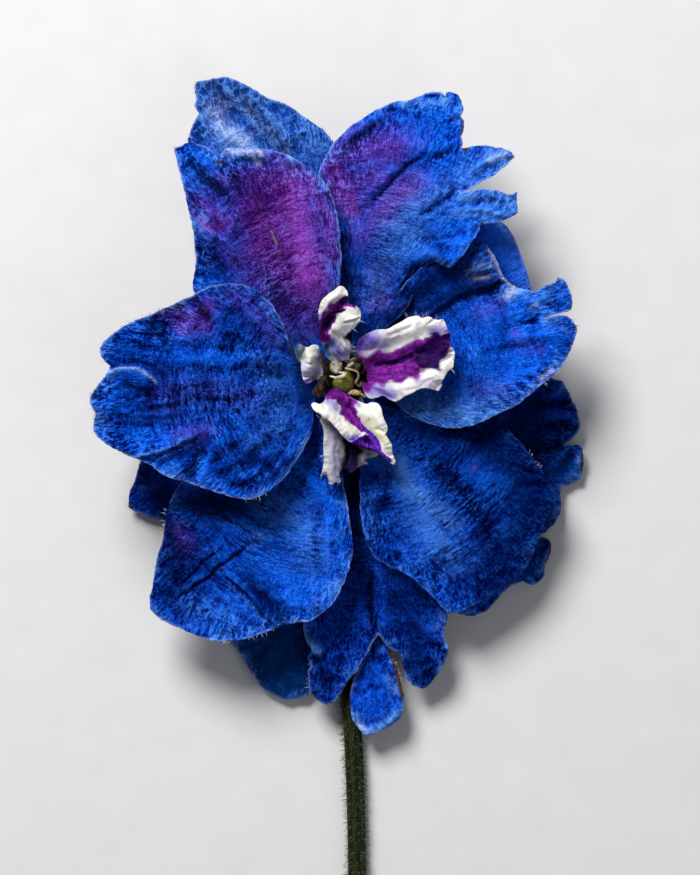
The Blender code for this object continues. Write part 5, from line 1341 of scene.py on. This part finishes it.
# Near black at the bases of the top and lower petals and down the lower one's deep valley: painted shade over
# the dark violet of the stripe.
body = bee_white.mixed(bee_white.mark("dusk"), body, (0.010, 0.004, 0.030))
body = bee_white.mixed(bee_white.mark("stain"), body, (0.10, 0.05, 0.015))
body = bee_white.mixed(bee_white.mark("hair"), body, (0.46, 0.42, 0.62))
bee_white.shows(body, 0.42 + 0.25 * veins, 0.6 * veins + 0.5 * pores, 0.07)
for seed, (node, petal) in enumerate(BEES.items(), start=23):
    shape = petal_shape(node, 10 * seed, **BEE_SHEET, **petal)
    dress(node, "petal", shape, bee_white)

# ---------------------------------------------------------------------------------------------
# The carpels: three plump green seed cases that stand on the receptacle in the middle of the
# blossom. Each grew in one piece, with a groove down its inner side and a withered tan style.

CARPEL_FOOT = 8.3
# Each carpel: where it stands, its radius and height, its lean, the turn its groove faces, the points
# of its style, and how far it has withered.
CARPELS = {
    "carpel_front": dict(
        at=(-0.5, 0.3), radius=1.18, height=3.1, lean=(0.03, 0.03), groove=150, withered=0.0,
        style=[(-0.42, 0.4, 10.9), (-0.46, 0.6, 11.1), (-0.55, 0.8, 11.2), (-0.75, 0.95, 11.2)]),
    "carpel_upper_right": dict(
        at=(0.6, 2.1), radius=0.7, height=3.0, lean=(0.06, 0.08), groove=235, withered=0.45,
        style=[(0.78, 2.3, 10.9), (0.5, 2.3, 11.3), (0.15, 2.05, 11.5), (-0.15, 1.8, 11.4)]),
    "carpel_upper_left": dict(
        at=(-1.25, 2.6), radius=0.66, height=3.5, lean=(0.02, -0.40), groove=60, withered=1.0,
        style=[(-1.15, 1.3, 11.2), (-0.65, 1.28, 11.5), (-0.3, 1.13, 11.7), (-0.65, 0.9, 11.85),
               (-1.2, 0.76, 11.8), (-1.95, 0.93, 11.6)]),
}
# Half a carpel's outline as shares of its radius and height, from its foot to the root of its style.
CARPEL_OUTLINE = [(0.03, 0.0), (0.5, 0.0), (0.86, 0.13), (1.0, 0.34), (0.94, 0.54), (0.74, 0.70),
                  (0.46, 0.82), (0.24, 0.89), (0.08, 0.93)]
CARPEL_SIDES = 40
GROOVE_DEPTH = 0.22
HUSK_RIBS = 11  # the ridges of a withered case


def carpel_shape(seed, at, radius, height, lean, groove, withered, style):
    """A plump case on its foot, grooved down one side, with the style bent over at its top."""
    profile = smooth_line([(share * radius, 0, rise * height) for share, rise in CARPEL_OUTLINE], 0.09)
    turns = np.linspace(0, 2 * math.pi, CARPEL_SIDES, endpoint=False)
    off = np.angle(np.exp(1j * (turns - math.radians(groove))))
    rise = profile[:, 2:] / height
    dent = GROOVE_DEPTH * np.exp(-(off / 0.30) ** 2)[None] * ramp(rise, 0.05, 0.3)
    bulge = 1 - dent + 0.05 * rumple(turns[None] * 2.2, profile[:, 2:] * 1.6, seed)
    bulge += 0.09 * withered * np.cos(HUSK_RIBS * turns)[None] * ramp(rise, 0.1, 0.4)
    spread = profile[:, :1] * bulge
    drift = np.outer(profile[:, 2], lean)
    case = np.stack([at[0] + spread * np.cos(turns) + drift[:, :1],
                     at[1] + spread * np.sin(turns) + drift[:, 1:],
                     np.repeat(CARPEL_FOOT + profile[:, 2:], CARPEL_SIDES, 1)], axis=-1)
    skin, faces = tube_skin(case)
    growth = np.zeros((len(skin), 3))
    growth[:-2, 0] = np.tile(turns * radius, len(profile))
    growth[:-2, 1] = np.repeat(profile[:, 2], CARPEL_SIDES)
    growth[:-2, 2] = 3.7 * seed
    marks = {"growth": growth, "withered": np.full(len(skin), withered),
             "groove": np.append((np.exp(-(off / 0.16) ** 2)[None] * ramp(rise, 0.05, 0.3)).ravel(), [0, 0]),
             "ripe": np.append(np.repeat(rise, CARPEL_SIDES), [0, 1])}
    line = smooth_line(style, 0.07)
    rings = stalk_rings(line, lambda d, turn: 0.05 + 0.12 * np.sin(math.pi * d / d.max())
                        + 0.02 * np.cos(2 * turn) + 0.03 * rumple(d * 4, turn, seed))[0]
    beak, beak_faces = tube_skin(rings)
    dry = {"growth": beak, "dry": np.ones(len(beak)), "withered": np.full(len(beak), withered)}
    return gathered((skin, faces, marks), (beak, beak_faces, dry))


carpel_green = Finish("carpel_green", Roughness=0.35, Specular_IOR_Level=0.3, Coat_Weight=0.12,
                      Coat_Roughness=0.2)
dapple = carpel_green.grain((1.6, 1.1, 1.0), detail=3)
speck = carpel_green.grain((5.0, 4.0, 1.0), detail=2)
ripe = carpel_green.mark("ripe")
# Painted light: the cases run from a dark olive at the foot to a lit yellow green at the top, where the light
# falls on them.
flesh = carpel_green.mixed(carpel_green.between(0.5 * dapple + 0.7 * ripe, 0.35, 0.95), (0.012, 0.014, 0.003),
                           (0.20, 0.20, 0.018))
flesh = carpel_green.mixed(0.5 * carpel_green.between(speck, 0.5, 0.75), flesh, (0.36, 0.36, 0.06))
# The groove is painted dark, as shade in the crease.
flesh = carpel_green.mixed(0.8 * carpel_green.mark("groove"), flesh, (0.012, 0.012, 0.004))
husk = carpel_green.mixed(carpel_green.between(0.6 * dapple + 0.5 * speck, 0.4, 0.7), (0.10, 0.095, 0.085),
                          (0.50, 0.47, 0.42))
flesh = carpel_green.mixed(0.85 * carpel_green.mark("withered"), flesh, husk)
straw = carpel_green.mixed(speck * (0.2 + carpel_green.mark("withered")), (0.07, 0.04, 0.025),
                           (0.80, 0.70, 0.58))
flesh = carpel_green.mixed(carpel_green.mark("dry"), flesh, straw)
carpel_green.shows(flesh, 0.25 + 0.25 * speck, dapple + 0.4 * speck, 0.08)
for seed, (node, carpel) in enumerate(CARPELS.items(), start=31):
    dress(node, "case", carpel_shape(seed, **carpel), carpel_green)

# ---------------------------------------------------------------------------------------------
# The stamens: withered brown threads that curl round the carpels, each with a shrunken anther at its
# end. They are what is left of a ring of pollen bearers, and they break off at a touch.

FILAMENT_RADIUS = 0.11
STAMEN_STEP = 0.06
# Each stamen: the points its thread runs through, its anther's radius, and how far it has bleached.
STAMENS = {
    "stamen_right_upper": ([(1.4, 1.2, 8.35), (1.75, 1.8, 9.6), (1.5, 2.5, 10.4), (0.9, 2.6, 11.0),
                            (0.3, 2.3, 11.2)], 0.3, 0.0),
    "stamen_right_lower": ([(1.5, 0.35, 8.3), (1.2, -0.1, 9.6), (0.85, 0.2, 10.6), (1.1, 0.8, 11.1),
                            (0.95, 1.35, 11.4), (0.3, 1.6, 11.5), (-0.3, 1.75, 11.4)], 0.13, 0.8),
    "stamen_front_right": ([(1.25, -0.6, 8.3), (1.7, -1.2, 9.4), (1.75, -1.3, 10.1), (1.3, -0.95, 10.4),
                            (0.6, -0.78, 10.5), (0.05, -0.95, 10.4)], 0.26, 1.0),
    "stamen_left_front": ([(-2.05, 0.2, 8.3), (-2.25, 0.9, 9.4), (-2.5, 0.7, 10.0), (-2.8, 0.0, 10.2),
                           (-3.1, -0.7, 10.0), (-3.3, -1.3, 9.7)], 0.55, 0.0),
    "stamen_back_left": ([(-2.25, 1.35, 8.3), (-2.2, 1.6, 10.0), (-2.6, 1.9, 10.9), (-2.85, 2.6, 11.1),
                          (-2.7, 3.6, 11.1)], 0.2, 0.0),
    "stamen_top": ([(-0.3, 2.4, 8.3), (-0.2, 2.5, 9.6), (0.1, 2.4, 10.6), (0.0, 2.0, 11.2),
                    (0.2, 1.85, 11.3)], 0.24, 0.0),
}


def stamen_shape(seed, points, anther_radius, bleached):
    """A wavering thread that swells into a shrunken, wrinkled anther."""
    line = smooth_line(points, STAMEN_STEP)
    line += 0.07 * np.stack([rumple(line[:, 2] * 1.7, np.full(len(line), axis + 0.5), seed + axis)
                             for axis in range(3)], 1)
    length = STAMEN_STEP * (len(line) - 1)
    pod_length = 5 * anther_radius

    def thickness(distance, turn):
        anther = ramp(distance, length - pod_length, length - 0.67 * pod_length)
        anther *= 1 - 0.75 * ramp(distance, length - 0.35, length)
        flat = FILAMENT_RADIUS * (0.85 + 0.2 * np.cos(2 * turn))
        pod = anther_radius * (0.9 + 0.25 * np.cos(2 * turn + 1.2 * distance)
                               + 0.2 * rumple(distance * 3, turn, seed)
                               + 0.25 * rumple(distance * 2, turn * 4, seed + 9))
        return flat + (pod - flat) * anther

    rings, _, _, distance, turns = stalk_rings(line, thickness)
    skin, faces = tube_skin(rings)
    growth = np.zeros((len(skin), 3))
    growth[:-2, 0] = np.repeat(distance, len(turns))
    growth[:-2, 1] = np.tile(turns * 0.3, len(distance))
    growth[:-2, 2] = 5.3 * seed
    anther = ramp(distance, length - pod_length, length - 0.7 * pod_length)
    anther = np.append(np.repeat(anther, len(turns)), [0, 1])
    return skin, faces, {"growth": growth, "anther": anther, "bleached": np.full(len(skin), bleached)}


stamen_brown = Finish("stamen_brown", Roughness=0.7, Specular_IOR_Level=0.1)
scorch = stamen_brown.grain((2.6, 3.4, 1.0), detail=4)
ridge = stamen_brown.grain((1.2, 9.0, 1.0), detail=2)
thread = stamen_brown.mixed(stamen_brown.between(scorch, 0.35, 0.7), (0.018, 0.011, 0.007),
                            (0.20, 0.135, 0.07))
wrinkles = stamen_brown.between(0.5 * scorch + 0.5 * ridge, 0.35, 0.65)
pod = stamen_brown.mixed(wrinkles, (0.003, 0.002, 0.003), (0.055, 0.033, 0.024))
tan = stamen_brown.mixed(wrinkles, (0.15, 0.085, 0.04), (0.62, 0.45, 0.27))
withered = stamen_brown.mixed(stamen_brown.mark("anther"), thread, pod)
withered = stamen_brown.mixed(stamen_brown.mark("bleached"), withered, tan)
stamen_brown.shows(withered, 0.55 + 0.3 * scorch, 0.6 * ridge + 0.5 * scorch, 0.08)
for seed, (node, stamen) in enumerate(STAMENS.items(), start=41):
    dress(node, "thread", stamen_shape(10 * seed, *stamen), stamen_brown)

# ---------------------------------------------------------------------------------------------
# The set: a pale floor that runs out of sight, a large soft light high over the top sepal, a
# weaker one from the side, and a camera that looks straight down on the blossom.

CAMERA_LENS = 200
VIEW_CENTRE = (0.21, -5.53)
VIEW_HEIGHT = 92.3
VIEW_PLANE = 9.0

floor_mesh = bpy.data.meshes.new("floor")
floor_mesh.from_pydata([(-2, -2, 0), (2, -2, 0), (2, 2, 0), (-2, 2, 0)], [], [(0, 1, 2, 3)])
floor = bpy.data.objects.new("floor", floor_mesh)
bpy.context.scene.collection.objects.link(floor)
paper = Finish("floor_paper", Roughness=0.8)
fleck = paper.node("ShaderNodeTexNoise", {}, {"Scale": 900.0, "Detail": 3.0})
paper.shows(paper.mixed(fleck, (0.62, 0.62, 0.63), (0.68, 0.68, 0.69)), None, fleck, 0.05)
floor_mesh.materials.append(paper.material)


def soft_light(name, place, size, power, colour):
    """An area light at this place in metres, turned to the blossom."""
    lamp = bpy.data.lights.new(name, "AREA")
    lamp.shape, lamp.size, lamp.energy, lamp.color = "DISK", size, power, colour
    made = bpy.data.objects.new(name, lamp)
    made.location = place
    made.rotation_euler = (-Vector(place)).to_track_quat("-Z", "Y").to_euler()
    bpy.context.scene.collection.objects.link(made)


soft_light("key", (-0.17, 0.35, 0.38), 0.24, 4.3, (1.0, 0.98, 0.95))
soft_light("fill", (0.30, -0.20, 0.40), 0.45, 0.35, (0.92, 0.95, 1.0))

sky = bpy.data.worlds.new("studio")
sky.use_nodes = True
sky.node_tree.nodes["Background"].inputs["Color"].default_value = (0.93, 0.95, 1.0, 1)
sky.node_tree.nodes["Background"].inputs["Strength"].default_value = 0.17
bpy.context.scene.world = sky
bpy.context.scene.view_settings.view_transform = "Standard"

camera = bpy.data.cameras.new("camera")
camera.lens = CAMERA_LENS
camera.clip_start = 0.01
view = bpy.data.objects.new("camera", camera)
distance = VIEW_HEIGHT / camera.sensor_width * CAMERA_LENS
view.location = (ORIGIN + (*VIEW_CENTRE, VIEW_PLANE + distance)) * MM
bpy.context.scene.collection.objects.link(view)
bpy.context.scene.camera = view
